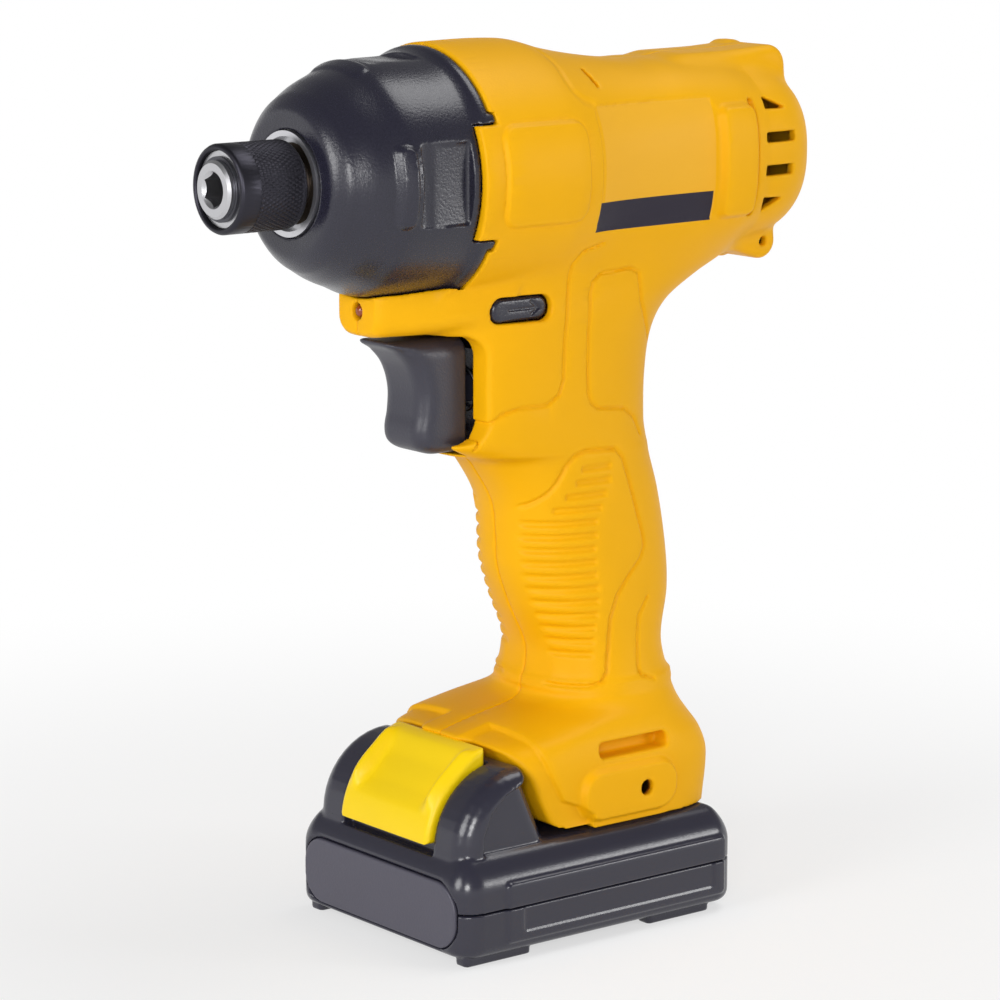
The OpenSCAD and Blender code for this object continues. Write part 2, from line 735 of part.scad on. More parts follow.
// Sector of a disc, drawn across the axis
module sector(inner, outer, half_angle) {
    polygon(concat(
        [for (a = [-half_angle:half_angle / 4:half_angle]) [outer * cos(a), outer * sin(a)]],
        [for (a = [half_angle:-half_angle / 4:-half_angle]) [inner * cos(a), inner * sin(a)]]
    ));
}
lug_half = 18;
dog_half = 17;
module anvil() {
    placed()
        color(steel)
            difference() {
                union() {
                    turned([[0, 0], [anvil_r - 0.6, 0], [anvil_r, 0.6], [anvil_r, sleeve_set_back + 0.3],
                        [anvil_r - 0.6, sleeve_set_back + 0.3], [anvil_r - 0.6, sleeve_set_back + 1],
                        [anvil_r, sleeve_set_back + 1], [anvil_r, lug_x], [bush_r - 0.4, lug_x],
                        [bush_r - 0.4, lug_x + lug_len], [0, lug_x + lug_len]]);
                    for (turn = [0, 180])
                        rotate([turn, 0, 0])
                            along_axis(lug_x, lug_len)
                                sector(4, recess_out - 0.2, lug_half);
                }
                translate([-past, 0, 0])
                    rotate([0, 90, 0])
                        cylinder(h = hex_depth + past, r = hex_af / 2 / cos(30), $fn = 6);
                turned([[0, -0.01], [hex_af / 2 + 0.75, -0.01], [hex_af / 2 - 0.1, 0.9], [0, 0.9]]);
                rod(lug_x - 5, lug_x + lug_len + past, pilot_r + running);
                for (s = [-1, 1])
                    translate([lock_ball_x, 0, 0])
                        rotate([-90 * s, 0, 0])
                            translate([0, 0, 2.6])
                                cylinder(h = anvil_r, r = lock_ball_r + running);
            }
}
module lock_balls() {
    placed()
        color(bright)
            for (s = [-1, 1])
                translate([lock_ball_x, s * ball_ring, 0])
                    sphere(r = lock_ball_r);
}
module collet_sleeve() {
    land_back = land_x + land_len;
    placed()
        color(dark)
            turned([[sleeve_recess, sleeve_set_back], [sleeve_r - 0.5, sleeve_set_back],
                [sleeve_r, sleeve_set_back + 0.7], [sleeve_r, sleeve_back - 0.8], [sleeve_r - 0.5, sleeve_back],
                [anvil_r + 1.5, sleeve_back], [anvil_r + 1.5, land_back], [sleeve_bore, land_back],
                [sleeve_bore, land_x], [sleeve_recess, land_x]]);
}
module collet_snap_ring() {
    placed()
        color(steel)
            ring(sleeve_set_back + 0.35, sleeve_set_back + 0.95, anvil_r + 0.7, anvil_r - 0.5);
}
module collet_washer() {
    placed()
        color(steel)
            ring(sleeve_set_back + 1, sleeve_set_back + 1.8, sleeve_recess - 0.15, anvil_r + 0.05);
}
module collet_spring() {
    placed()
        color(steel)
            coil(sleeve_set_back + 1.85, land_x - 0.05, anvil_r + 1, 0.45, 4);
}

// Impact mechanism

ball_orbit = cam_shaft_r + 0.7;
ball_x = hammer_front + 2.7;
module hammer() {
    placed()
        color(steel)
            difference() {
                union() {
                    turned([[cam_shaft_r + running, hammer_front], [hammer_r - 0.8, hammer_front],
                        [hammer_r, hammer_front + 0.8], [hammer_r, hammer_front + hammer_len],
                        [recess_out, hammer_front + hammer_len], [recess_out, hammer_floor],
                        [recess_in, hammer_floor], [recess_in, hammer_front + hammer_len - 6],
                        [cam_shaft_r + running, hammer_front + hammer_len - 6]]);
                    for (turn = [0, 180])
                        rotate([turn + lug_half + dog_half + 2.5, 0, 0])
                            along_axis(lug_x + 0.4, hammer_front - lug_x)
                                sector(bush_r + 0.1, recess_out - 0.2, dog_half);
                }
                for (turn = [90, -90])
                    rotate([turn, 0, 0])
                        translate([ball_x, 0, ball_orbit])
                            sphere(r = cam_ball_r + running);
            }
}
module cam_balls() {
    placed()
        color(bright)
            for (turn = [90, -90])
                rotate([turn, 0, 0])
                    translate([ball_x, 0, ball_orbit])
                        sphere(r = cam_ball_r);
}
thrust_ball_r = 1.1;
washer_x = hammer_floor + 2 * thrust_ball_r + 0.2;
washer_t = 1;
module thrust_balls() {
    placed()
        color(bright)
            for (i = [0:13])
                rotate([i * 360 / 14, 0, 0])
                    translate([hammer_floor + thrust_ball_r + 0.1, 0, spring_r])
                        sphere(r = thrust_ball_r);
}
module spring_washer() {
    placed()
        color(steel)
            ring(washer_x + 0.05, washer_x + washer_t, recess_out - 0.3, recess_in + 0.3);
}
module hammer_spring() {
    placed()
        color(steel)
            coil(washer_x + washer_t + 0.05, carrier_x - 0.05, spring_r, spring_wire, 3);
}
// Ball groove of the cam shaft: one arm of its V, run past both ends of the stroke by more than a ball
module cam_groove() {
    rings = 8;
    sides = 8;
    groove_r = cam_ball_r + 0.35;
    over = 1.6;
    lead = ball_orbit * cam_turn * PI / 180 / hammer_stroke;
    across = 1 / sqrt(1 + lead * lead);
    loft([
        for (k = [0:rings])
            let (s = -over + (hammer_stroke + 2 * over) * k / rings, a = cam_turn * s / hammer_stroke)
            [for (i = [0:sides - 1])
                let (b = 360 * i / sides, r = ball_orbit + groove_r * sin(b), n = groove_r * cos(b))
                [ball_x + s + lead * across * n,
                    across * n * cos(a) - r * sin(a),
                    across * n * sin(a) + r * cos(a)]]
    ]);
}
module cam_shaft() {
    placed()
        color(steel)
            difference() {
                union() {
                    turned([[0, lug_x - 4.6], [pilot_r, lug_x - 4.6], [pilot_r, hammer_front - 0.2],
                        [cam_shaft_r, hammer_front - 0.2], [cam_shaft_r, carrier_x], [carrier_r, carrier_x],
                        [carrier_r, carrier_x + carrier_disc], [0, carrier_x + carrier_disc]]);
                    turned([[hub_r - 3.6, carrier_rear], [carrier_r, carrier_rear],
                        [carrier_r, carrier_rear + carrier_disc], [hub_r - running, carrier_rear + carrier_disc],
                        [hub_r - running, bearing_x + bearing_w], [hub_r - 3.6, bearing_x + bearing_w]]);
                    for (i = [0:planets - 1])
                        rotate([(i + 0.5) * 360 / planets, 0, 0])
                            translate([0, 0, gear_centre + 0.6])
                                rod(carrier_x + carrier_disc / 2, carrier_rear + carrier_disc / 2, 2.3);
                }
                for (i = [0:planets - 1])
                    rotate([i * 360 / planets, 0, 0])
                        translate([0, 0, gear_centre])
                            rod(carrier_x - past, carrier_rear + carrier_disc + past, pin_r + 0.01);
                for (turn = [90, -90])
                    rotate([turn, 0, 0]) {
                        cam_groove();
                        mirror([0, 1, 0])
                            cam_groove();
                    }
            }
}
module planet_pins() {
    placed()
        color(bright)
            for (i = [0:planets - 1])
                rotate([i * 360 / planets, 0, 0])
                    translate([0, 0, gear_centre])
                        rod(carrier_x + 0.1, carrier_rear + carrier_disc - 0.1, pin_r);
}
module planet_gear(index) {
    placed()
        color(bright)
            rotate([index * 360 / planets, 0, 0])
                translate([0, 0, gear_centre])
                    along_axis(gear_x, gear_w)
                        difference() {
                            polygon(gear_points(planet_teeth, tooth_slack, gear_m, 1.25 * gear_m));
                            circle(r = pin_r + running);
                        }
}
module ring_gear() {
    placed()
        color(steel)
            along_axis(gear_x - 0.4, carrier_rear + 0.6 - gear_x)
                difference() {
                    circle(r = ring_r);
                    polygon(gear_points(ring_teeth, -tooth_slack, 1.25 * gear_m, 0.8 * gear_m));
                }
}
module carrier_bearing() {
    placed()
        color(bright)
            turned([[hub_r, bearing_x], [bearing_r, bearing_x], [bearing_r, bearing_x + bearing_w],
                [hub_r, bearing_x + bearing_w]]);
}
module gearbox_plate() {
    cup_r = bearing_r + 3;
    placed()
        color(dark)
            turned([[carrier_r + 0.5, carrier_rear + 0.25], [ring_r - 0.1, carrier_rear + 0.25],
                [ring_r - 0.1, carrier_rear + 2.2], [cup_r, carrier_rear + 2.2], [cup_r, motor_x - 0.1],
                [6.8, motor_x - 0.1], [6.8, plate_floor], [bearing_r + 0.02, plate_floor],
                [bearing_r + 0.02, bearing_x - 0.1], [carrier_r + 0.5, bearing_x - 0.1]]);
}

// Motor

can_wall = 1.4;
core_r = 11.6;
core_x = motor_x + 12;
core_len = 25;
comm_x = core_x + core_len + 5.4;
comm_len = 6;
comm_r = 5;
module motor_can() {
    placed()
        color(steel)
            turned([[4.5, motor_x - 1.4], [6.5, motor_x - 1.4], [6.5, motor_x], [motor_r, motor_x],
                [motor_r, motor_back], [motor_r - can_wall, motor_back], [motor_r - can_wall, motor_x + 1.2],
                [4.5, motor_x + 1.2]]);
}
module motor_magnets() {
    placed()
        color(dark)
            for (turn = [0, 180])
                rotate([turn, 0, 0])
                    along_axis(core_x - 1, core_len + 2)
                        sector(core_r + 0.7, motor_r - can_wall - 0.1, 62);
}
module motor_bushes() {
    placed()
        color(bronze) {
            ring(motor_x - 1.3, motor_x + 1.9, 4.48, shaft_r + running);
            ring(motor_back + 0.6, motor_back + 3.6, 4.48, shaft_r + running);
        }
}
module motor_shaft() {
    placed()
        color(steel)
            rod(gear_x + 0.2, motor_back + 3.8, shaft_r);
}
module motor_pinion() {
    placed()
        color(bright)
            along_axis(gear_x, gear_w + 1)
                difference() {
                    polygon(gear_points(sun_teeth, tooth_slack, gear_m, 1.2 * gear_m));
                    circle(r = shaft_r + 0.01);
                }
}
module armature_core() {
    poles = 5;
    placed()
        color(steel)
            along_axis(core_x, core_len)
                difference() {
                    circle(r = core_r);
                    circle(r = shaft_r + 0.01);
                    for (i = [0:poles - 1])
                        rotate(i * 360 / poles) {
                            translate([core_r - 2.4, -0.8])
                                square([3, 1.6]);
                            translate([6.4, -2.4])
                                square([core_r - 8, 4.8]);
                        }
                }
}
module armature_windings() {
    placed()
        color(copper)
            for (x = [core_x - 4.1, core_x + core_len + 0.1])
                turned([[3, x], [8.6, x], [10.4, x + 1.4], [10.4, x + 2.6], [8.6, x + 4], [3, x + 4]]);
}
module commutator() {
    segments = 5;
    placed()
        color(copper)
            along_axis(comm_x, comm_len)
                difference() {
                    circle(r = comm_r);
                    circle(r = shaft_r + 0.01);
                    for (i = [0:segments - 1])
                        rotate(i * 360 / segments)
                            translate([comm_r - 0.8, -0.25])
                                square([2, 0.5]);
                }
}
module cooling_fan() {
    blades = 9;
    fan_x = motor_x + 2.6;
    placed()
        color(black) {
            difference() {
                union() {
                    rod(fan_x, fan_x + 1.2, motor_r - can_wall - 1.2);
                    rod(fan_x, fan_x + 5, 4);
                    for (i = [0:blades - 1])
                        rotate([i * 360 / blades, 0, 0])
                            block([fan_x + 1, -0.6, 3.6], [fan_x + 4.6, 0.6, motor_r - can_wall - 1.8]);
                }
                rod(fan_x - past, fan_x + 6, shaft_r + 0.01);
            }
        }
}
brush_y = comm_r + 0.3;
module motor_end_bell() {
    placed()
        color(black)
            difference() {
                union() {
                    turned([[4.5, motor_back + 0.1], [motor_r, motor_back + 0.1], [motor_r, motor_back + 4],
                        [motor_r - 1, motor_back + 5], [4.5, motor_back + 5]]);
                    for (s = [-1, 1])
                        block([comm_x - 1, s > 0 ? 6.6 : -12.6, -4], [motor_back + 1, s > 0 ? 12.6 : -6.6, 4]);
                }
                block([comm_x + 0.4, -13, -2.6], [comm_x + 5.6, 13, 2.6]);
            }
}
module carbon_brushes() {
    placed()
        color(dark)
            for (s = [-1, 1])
                block([comm_x + 0.5, s > 0 ? brush_y : -12, -2.5], [comm_x + 5.5, s > 0 ? 12 : -brush_y, 2.5]);
}
module motor_terminals() {
    placed()
        color(brass)
            for (s = [-1, 1])
                block([motor_back + 5, s * 9 - 0.4, -2.4], [motor_back + 11, s * 9 + 0.4, 2.4]);
}

// Controls

// Side view of the trigger: a finger hollow between a brow and a toe
// Trigger: depth under the axis, front and half width of each section
trigger_stations = [
    [-trigger_top, 39.8, trigger_width / 2 - 0.6],
    [-trigger_top + 1.2, 40.4, trigger_width / 2],
    [-trigger_top + 2.8, 43.2, trigger_width / 2],
    [-trigger_top + 6.4, 46.5, trigger_width / 2],
    [-trigger_top + 12, 48.1, trigger_width / 2],
    [-trigger_top + 17, 47.8, trigger_width / 2],
    [-trigger_top + 21, 47.3, trigger_width / 2],
    [-trigger_low - 2, 48, trigger_width / 2],
    [-trigger_low - 0.7, 49.4, trigger_width / 2 - 0.3],
    [-trigger_low, 51.6, trigger_width / 2 - 1.2]
];
// One section: square at the back, round at both front corners
function trigger_ring(d) =
    let (
        front = station_value(trigger_stations, d, 1),
        half = station_value(trigger_stations, d, 2),
        r = 3.4
    )
    concat(
        [[trigger_back, -half, -d]],
        [for (a = [0:22.5:90]) [front + r - r * sin(a), r - half - r * cos(a), -d]],
        [for (a = [0:22.5:90]) [front + r - r * cos(a), half - r + r * sin(a), -d]],
        [[trigger_back, half, -d]]
    );
module trigger() {
    half = trigger_width / 2;
    placed()
        color(dark) {
            difference() {
                loft([for (t = [0, 0.05, 0.11, 0.17, 0.25, 0.36, 0.48, 0.6, 0.72, 0.84, 0.92, 0.97, 1])
                    trigger_ring(-trigger_top + t * (trigger_top - trigger_low))]);
                block([50, 2 - half, trigger_low + 2.6], [trigger_back + past, half - 2, trigger_top - 2]);
            }
            block([49, -3, -50], [trigger_back + 6, 3, -44]);
        }
}
module trigger_spring() {
    placed()
        color(steel)
            translate([0, 0, -47])
                coil(50.2, switch_x - 0.05, 5.2, 0.4, 4);
}
module trigger_switch() {
    placed()
        color(black)
            difference() {
                union() {
                    block([switch_x, -12, -61], [switch_x + 24, 12, -39]);
                    block([switch_x + 3, -9, -39], [switch_x + 20, 9, -36.4]);
                }
                block([switch_x - past, -3.4, -50.4], [switch_x + 8, 3.4, -43.6]);
            }
}
module direction_selector() {
    low = selector_z - selector_h / 2;
    high = selector_z + selector_h / 2;
    placed()
        color(black)
            difference() {
                cross_pad(selector_x - selector_len / 2, low, selector_x + selector_len / 2, high, 2.5,
                    -selector_half, selector_half);
                block([selector_x - 9, -9, selector_z - 0.4], [selector_x + 9, 9, high + past]);
            }
}
module work_light() {
    placed()
        color("white") {
            translate([light_x, 0, light_z])
                rotate([0, 90, 0])
                    cylinder(h = 3.5, r = light_r);
            translate([light_x, 0, light_z])
                sphere(r = light_r);
        }
}
module light_board() {
    placed()
        color("#2f6b3a")
            block([light_x + 3.8, -3, light_z - 3], [light_x + 5.2, 3, light_z + 1.8]);
}
blade_x = tower_x + 8;
blade_z = [tower_top - 5, tower_top - 1];
module terminal_block() {
    placed()
        color(black)
            block([tower_back + 1, -12, rail_top + 1], [socket_back, 12, tower_top + 3.3]);
}
module terminal_blades() {
    placed()
        color(brass)
            for (y = [-blade_gap, 0, blade_gap])
                block([blade_x, y - 0.4, blade_z[0]], [tower_back + 1, y + 0.4, blade_z[1]]);
}

// Battery

// Box with rounded upright edges
module soft_box(x0, x1, half, z0, z1, r) {
    translate([0, 0, z0])
        linear_extrude(height = z1 - z0)
            translate([x0 + r, r - half])
                offset(r = r, $fn = 32)
                    square([x1 - x0 - 2 * r, 2 * half - 2 * r]);
}
// Bull nosed dome at the front of the battery, under the latch, its back sloped
module dome_form(grow) {
    edge = 5;
    hull()
        for (s = [-1, 1]) {
            for (x = [dome_front + edge, dome_back - edge])
                translate([x, s * (dome_half - edge), deck_z - 3])
                    cylinder(h = 2, r = edge + grow, $fn = 20);
            for (a = [0:19:76])
                translate([dome_front + dome_r - (dome_r - edge) * cos(a), s * (dome_half - edge),
                    dome_top - dome_r + (dome_r - edge) * sin(a)])
                    sphere(r = edge + grow, $fn = 16);
        }
}
cell_pitch = 2 * cell_r + 0.7;
cell_z = pack_floor + pack_wall + cell_r + 0.3;
cell_x = pack_x + (pack_len - cell_len) / 2;
pack_screws = [for (x = [pack_x + 3.9, pack_back - 3.3], y = [-24, 24]) [x, y]];
module front_recess(depth, grow) {
    translate([pack_x + depth, 0, pack_floor + 9])
        rotate([0, -90, 0])
            linear_extrude(height = depth + past)
                offset(r = 6.5 + grow, $fn = 32)
                    square([2, pack_width - 19.4], center = true);
}
module battery_upper_case() {
    half = pack_width / 2;
    placed()
        color(black)
            difference() {
                union() {
                    hull() {
                        soft_box(pack_x, pack_back, half, seam_z, shoulder_z, pack_corner);
                        soft_box(pack_x + shoulder_in, pack_back - shoulder_in, half - shoulder_in, seam_z,
                            tier_z, pack_corner);
                    }
                    soft_box(pack_x + shoulder_in - 0.1, pack_back - shoulder_in + 0.1, half - shoulder_in + 0.1,
                        tier_z - 1, deck_z, pack_corner);
                    dome_form(0);
                    block([rail_x, -rail_stem, deck_z - 0.5], [rail_back, rail_stem, rail_low + 0.1]);
                    block([rail_x, -rail_wide, rail_low], [rail_back, rail_wide, rail_top]);
                    block([tower_x, -tower_half, rail_low], [tower_back, tower_half, tower_top]);
                }
                hull() {
                    soft_box(pack_x + pack_wall, pack_back - pack_wall, half - pack_wall, seam_z - past,
                        shoulder_z - 0.8, pack_corner - pack_wall);
                    soft_box(pack_x + shoulder_in + 2, pack_back - shoulder_in - 2, half - shoulder_in - 2,
                        seam_z - past, deck_z - pack_wall + 0.2, pack_corner - pack_wall);
                }
                intersection() {
                    dome_form(-pack_wall - 3);
                    block([pack_x, -40, deck_z - 3], [dome_back - 2, 40, dome_top]);
                }
                for (y = [-blade_gap, 0, blade_gap])
                    block([blade_x - 3, y - 1.7, blade_z[0] - 0.4], [tower_back + past, y + 1.7, tower_top + past]);
                latch_pocket();
                for (y = [-latch_spring_y, latch_spring_y])
                    translate([latch_spring_x, y, latch_spring_low])
                        cylinder(h = 10, r = latch_seat_r, $fn = 24);
                front_recess(1.3, 0.15);
                for (p = pack_screws)
                    translate([p[0], p[1], seam_z - past])
                        cylinder(h = 7, r = 1.1);
            }
    placed()
        color(black) {
            for (y = [-latch_spring_y, latch_spring_y])
                block([latch_spring_x - 3.9, y - 3.4, latch_spring_low - 2],
                    [latch_spring_x + 3.4, y + 3.4, latch_spring_low]);
            for (p = pack_screws)
                translate([p[0], p[1], seam_z])
                    difference() {
                        cylinder(h = deck_z - 1.3 - seam_z, r = 1.9);
                        translate([0, 0, -past])
                            cylinder(h = 7, r = 1.1);
                    }
        }
}
module battery_lower_case() {
    half = pack_width / 2;
    placed()
        color(black)
            difference() {
                union() {
                    difference() {
                        hull() {
                            soft_box(pack_x, pack_back, half, pack_floor + 1.5, seam_z, pack_corner);
                            soft_box(pack_x + 1.5, pack_back - 1.5, half - 1.5, pack_floor, seam_z, pack_corner);
                        }
                        soft_box(pack_x + pack_wall, pack_back - pack_wall, half - pack_wall,
                            pack_floor + pack_wall, seam_z + past, pack_corner - pack_wall);
                        front_recess(1.3, 0.15);
                    }
                    for (p = pack_screws)
                        translate([p[0], p[1], pack_floor + 0.5])
                            cylinder(h = seam_z - pack_floor - 0.5, r = 1.9);
                    for (s = [-1, 1], x = [pack_x + 2, pack_back - 24])
                        hull() {
                            translate([x, s * (half - 4) - 2, pack_floor - foot_h])
                                cube([18, 4, foot_h]);
                            translate([x - 1, s * (half - 4) - 2.5, pack_floor])
                                cube([20, 5, 0.6]);
                        }
                }
                for (p = pack_screws)
                    translate([p[0], p[1], pack_floor - past]) {
                        cylinder(h = 30, r = 1.1);
                        cylinder(h = 2.4 + past, r = 1.75);
                    }
            }
}
module battery_front_plate() {
    placed()
        color(dark)
            intersection() {
                front_recess(1.25, -0.15);
                block([pack_x + 0.2, -40, pack_floor], [pack_x + 1.25, 40, deck_z]);
            }
}
module battery_cells() {
    placed()
        color("#4a6fa5")
            for (y = [-cell_pitch, 0, cell_pitch])
                translate([0, y, cell_z])
                    rod(cell_x, cell_x + cell_len, cell_r);
}
module cell_holders() {
    placed()
        color(dark)
            for (x = [cell_x + 4, cell_x + cell_len - 8])
                difference() {
                    block([x, -cell_pitch - cell_r - 0.4, pack_floor + pack_wall + 0.1],
                        [x + 4, cell_pitch + cell_r + 0.4, cell_z + 3]);
                    for (y = [-cell_pitch, 0, cell_pitch])
                        translate([0, y, cell_z])
                            rod(x - past, x + 5, cell_r + 0.15);
                }
}
module cell_straps() {
    placed()
        color(bright) {
            block([cell_x - 0.3, -cell_pitch - 4, cell_z - 3], [cell_x, 4, cell_z + 3]);
            block([cell_x - 0.3, cell_pitch - 4, cell_z - 3], [cell_x, cell_pitch + 4, cell_z + 3]);
            block([cell_x + cell_len, -4, cell_z - 3], [cell_x + cell_len + 0.3, cell_pitch + 4, cell_z + 3]);
            block([cell_x + cell_len, -cell_pitch - 4, cell_z - 3],
                [cell_x + cell_len + 0.3, 4 - cell_pitch, cell_z + 3]);
        }
}
module battery_contacts() {
    placed()
        color(copper)
            for (y = [-blade_gap, 0, blade_gap], s = [-1, 1])
                block([blade_x - 2.8, y + s * 1.35 - 0.3, blade_z[0] - 0.3],
                    [tower_back - 2, y + s * 1.35 + 0.3, tower_top - 0.6]);
}
latch_half = 16;
latch_low = deck_z + 0.6;
latch_proud = 1.4;
latch_back = dome_front + 14.8;
latch_spring_x = dome_front + 11;
latch_spring_y = 8;
latch_spring_low = dome_top - 8.8;
latch_spring_top = dome_top - 2.8;
latch_seat_r = 2.75;
// Side view of the latch: a saddle that follows the dome
module latch_outline(grow) {
    difference() {
        intersection() {
            translate([dome_front + dome_r, dome_top - dome_r])
                circle(r = dome_r + latch_proud + grow);
            translate([dome_front - 3, latch_low - grow])
                square([latch_back - dome_front + 3 + grow, 40]);
        }
        translate([dome_front + dome_r, dome_top - dome_r])
            circle(r = dome_r - 2.2 - grow);
    }
}
module latch_pocket() {
    for (drop = [0, latch_travel])
        translate([0, latch_half + fit, -drop])
            rotate([90, 0, 0])
                linear_extrude(height = 2 * latch_half + 2 * fit)
                    latch_outline(fit);
}
module battery_latch() {
    placed()
        color(latch_yellow)
            difference() {
                translate([0, latch_half, 0])
                    rotate([90, 0, 0])
                        linear_extrude(height = 2 * latch_half)
                            latch_outline(0);
                for (y = [-latch_spring_y, latch_spring_y])
                    translate([latch_spring_x, y, latch_spring_top - 10])
                        cylinder(h = 10, r = latch_seat_r, $fn = 24);
            }
}
module latch_springs() {
    placed()
        color(steel)
            for (y = [-latch_spring_y, latch_spring_y])
                translate([latch_spring_x, y, latch_spring_low])
                    rotate([0, -90, 0])
                        coil(0.05, latch_spring_top - latch_spring_low - 0.05, 2, 0.35, 3);
}
module battery_screws() {
    placed()
        color(steel)
            for (p = pack_screws)
                translate([p[0], p[1], pack_floor]) {
                    translate([0, 0, 0.8])
                        cylinder(h = 1.5, r = 1.7);
                    translate([0, 0, 1])
                        cylinder(h = seam_z - pack_floor + 4, r = 1);
                }
}

left_housing();
right_housing();
housing_screws();
belt_hook_inserts();
nose_cover();
hammer_case();
anvil_bush();
anvil();
lock_balls();
collet_sleeve();
collet_spring();
collet_washer();
collet_snap_ring();
hammer();
cam_balls();
thrust_balls();
spring_washer();
hammer_spring();
cam_shaft();
planet_pins();
planet_gear(0);  // planet_gear_1
planet_gear(1);  // planet_gear_2
planet_gear(2);  // planet_gear_3
ring_gear();
carrier_bearing();
gearbox_plate();
motor_can();
motor_magnets();
motor_bushes();
motor_shaft();
motor_pinion();
armature_core();
armature_windings();
commutator();
cooling_fan();
motor_end_bell();
carbon_brushes();
motor_terminals();
trigger();
trigger_spring();
trigger_switch();
direction_selector();
work_light();
light_board();
terminal_block();
terminal_blades();
battery_upper_case();
battery_lower_case();
battery_front_plate();
battery_cells();
cell_holders();
cell_straps();
battery_contacts();
battery_latch();
latch_springs();
battery_screws();
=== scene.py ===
import functools
import json
import math

import bmesh
import bpy
import numpy as np
import openvdb
from bpy.props import FloatProperty, FloatVectorProperty, PointerProperty
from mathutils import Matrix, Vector


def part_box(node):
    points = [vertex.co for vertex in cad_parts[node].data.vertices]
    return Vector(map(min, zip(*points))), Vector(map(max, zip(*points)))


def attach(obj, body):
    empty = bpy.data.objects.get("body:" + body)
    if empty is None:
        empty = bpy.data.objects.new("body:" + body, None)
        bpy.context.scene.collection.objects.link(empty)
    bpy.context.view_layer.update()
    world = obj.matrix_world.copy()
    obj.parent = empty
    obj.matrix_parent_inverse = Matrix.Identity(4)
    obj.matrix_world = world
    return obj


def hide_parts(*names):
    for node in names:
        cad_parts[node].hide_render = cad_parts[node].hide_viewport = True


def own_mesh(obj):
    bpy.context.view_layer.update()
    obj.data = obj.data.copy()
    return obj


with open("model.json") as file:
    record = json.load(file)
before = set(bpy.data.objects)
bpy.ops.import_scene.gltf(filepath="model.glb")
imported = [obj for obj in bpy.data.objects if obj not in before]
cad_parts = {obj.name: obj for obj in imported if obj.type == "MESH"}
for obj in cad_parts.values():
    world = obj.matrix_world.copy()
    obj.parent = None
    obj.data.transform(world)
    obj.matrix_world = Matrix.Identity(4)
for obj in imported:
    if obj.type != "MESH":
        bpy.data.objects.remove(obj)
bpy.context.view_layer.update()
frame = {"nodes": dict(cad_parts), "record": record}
NODES = frame["nodes"]

bl_info = {
    "name": "Compact impact driver",
    "version": (1, 0, 0),
    "blender": (4, 5, 0),
    "location": "View3D > Sidebar > Driver",
    "description": "Moulded skins, finishes and studio for the solids of a compact impact driver",
    "category": "Object",
}

# The forms below are in millimetres from the drive tip: x back, y to the far side, z up from the drive axis
MM = 0.001
ANVIL_LOW, ANVIL_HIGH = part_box("anvil")
TIP = np.array([ANVIL_LOW.x, 0.0, (ANVIL_LOW.z + ANVIL_HIGH.z) / 2]) / MM


def linear(hex_colour):
    """Turns an sRGB hex colour into linear red, green and blue."""
    parts = [int(hex_colour[i:i + 2], 16) / 255 for i in (1, 3, 5)]
    return tuple(p / 12.92 if p <= 0.04045 else ((p + 0.055) / 1.055) ** 2.4 for p in parts)


# Sizes and colours that a user would change

COLOUR = {"subtype": "COLOR", "size": 3, "min": 0, "max": 1}


class DriverSizes(bpy.types.PropertyGroup):
    """Sizes of the moulded detail, in millimetres."""
    voxel: FloatProperty(
        name="Skin resolution", description="Spacing of the lattice that the moulded skins are drawn from",
        default=0.42, min=0.3, max=1.2)
    wall: FloatProperty(
        name="Housing wall", description="Thickness of the moulded halves", default=2.2, min=1.8, max=2.6)
    line_depth: FloatProperty(
        name="Panel line depth", description="Depth of the lines that outline the grip panels",
        default=0.72, min=0.1, max=1.2)
    line_width: FloatProperty(
        name="Panel line width", description="Half width of the lines that outline the grip panels",
        default=0.55, min=0.3, max=1.2)
    rib_depth: FloatProperty(
        name="Grip rib depth", description="Depth of the gaps between the ribs of the grip",
        default=0.65, min=0.1, max=0.9)
    pad_rise: FloatProperty(
        name="Pad rise", description="Height of the raised pad behind the collar",
        default=0.8, min=0.2, max=1.2)
    knurl_pitch: FloatProperty(
        name="Knurl pitch", description="Spacing of the diamonds on the sleeve",
        default=1.05, min=0.6, max=2.0)
    parting: FloatProperty(
        name="Parting gap", description="Gap between the two halves of the housing",
        default=0.1, min=0.02, max=0.3)


class DriverColours(bpy.types.PropertyGroup):
    """Colours of the finishes."""
    body: FloatVectorProperty(
        name="Body yellow", description="Moulded nylon of the housing",
        default=linear("#eeae05"), **COLOUR)
    label: FloatVectorProperty(
        name="Film yellow", description="Bare printed film on the barrel",
        default=linear("#edb02c"), **COLOUR)
    strip: FloatVectorProperty(
        name="Film strip", description="Dark strip along the bottom of the film",
        default=linear("#2f2b36"), **COLOUR)
    # Painted light: the latch's lemon yellow is the body's yellow as the strong low front light shows it
    latch: FloatVectorProperty(
        name="Latch yellow", description="Moulded nylon of the battery latch",
        default=linear("#f8d305"), **COLOUR)
    black: FloatVectorProperty(
        name="Moulded black", description="Nose cover and direction selector",
        default=linear("#1e1d2b"), **COLOUR)
    grey: FloatVectorProperty(
        name="Moulded grey", description="Trigger and inner mouldings",
        default=linear("#2d2c38"), **COLOUR)


class StageSettings(bpy.types.PropertyGroup):
    """Camera and studio."""
    camera_place: FloatVectorProperty(
        name="Camera", description="Place of the camera", subtype="XYZ", unit="LENGTH", size=3,
        default=(-0.5201, -0.6563, 0.2559))
    heading: FloatProperty(
        name="Heading", description="Way that the camera looks, from the x axis", subtype="ANGLE",
        default=math.radians(51.75))
    pitch: FloatProperty(
        name="Pitch", description="How far the camera looks down", subtype="ANGLE",
        default=math.radians(10.977))
    lens: FloatProperty(
        name="Lens", description="Focal length on a 36 mm sensor", default=139.68, min=20, max=300)
    floor: FloatVectorProperty(
        name="Floor", description="Colour of the floor",
        default=linear("#f6f6f6"), **COLOUR)


# Distance fields: below zero inside, above zero outside

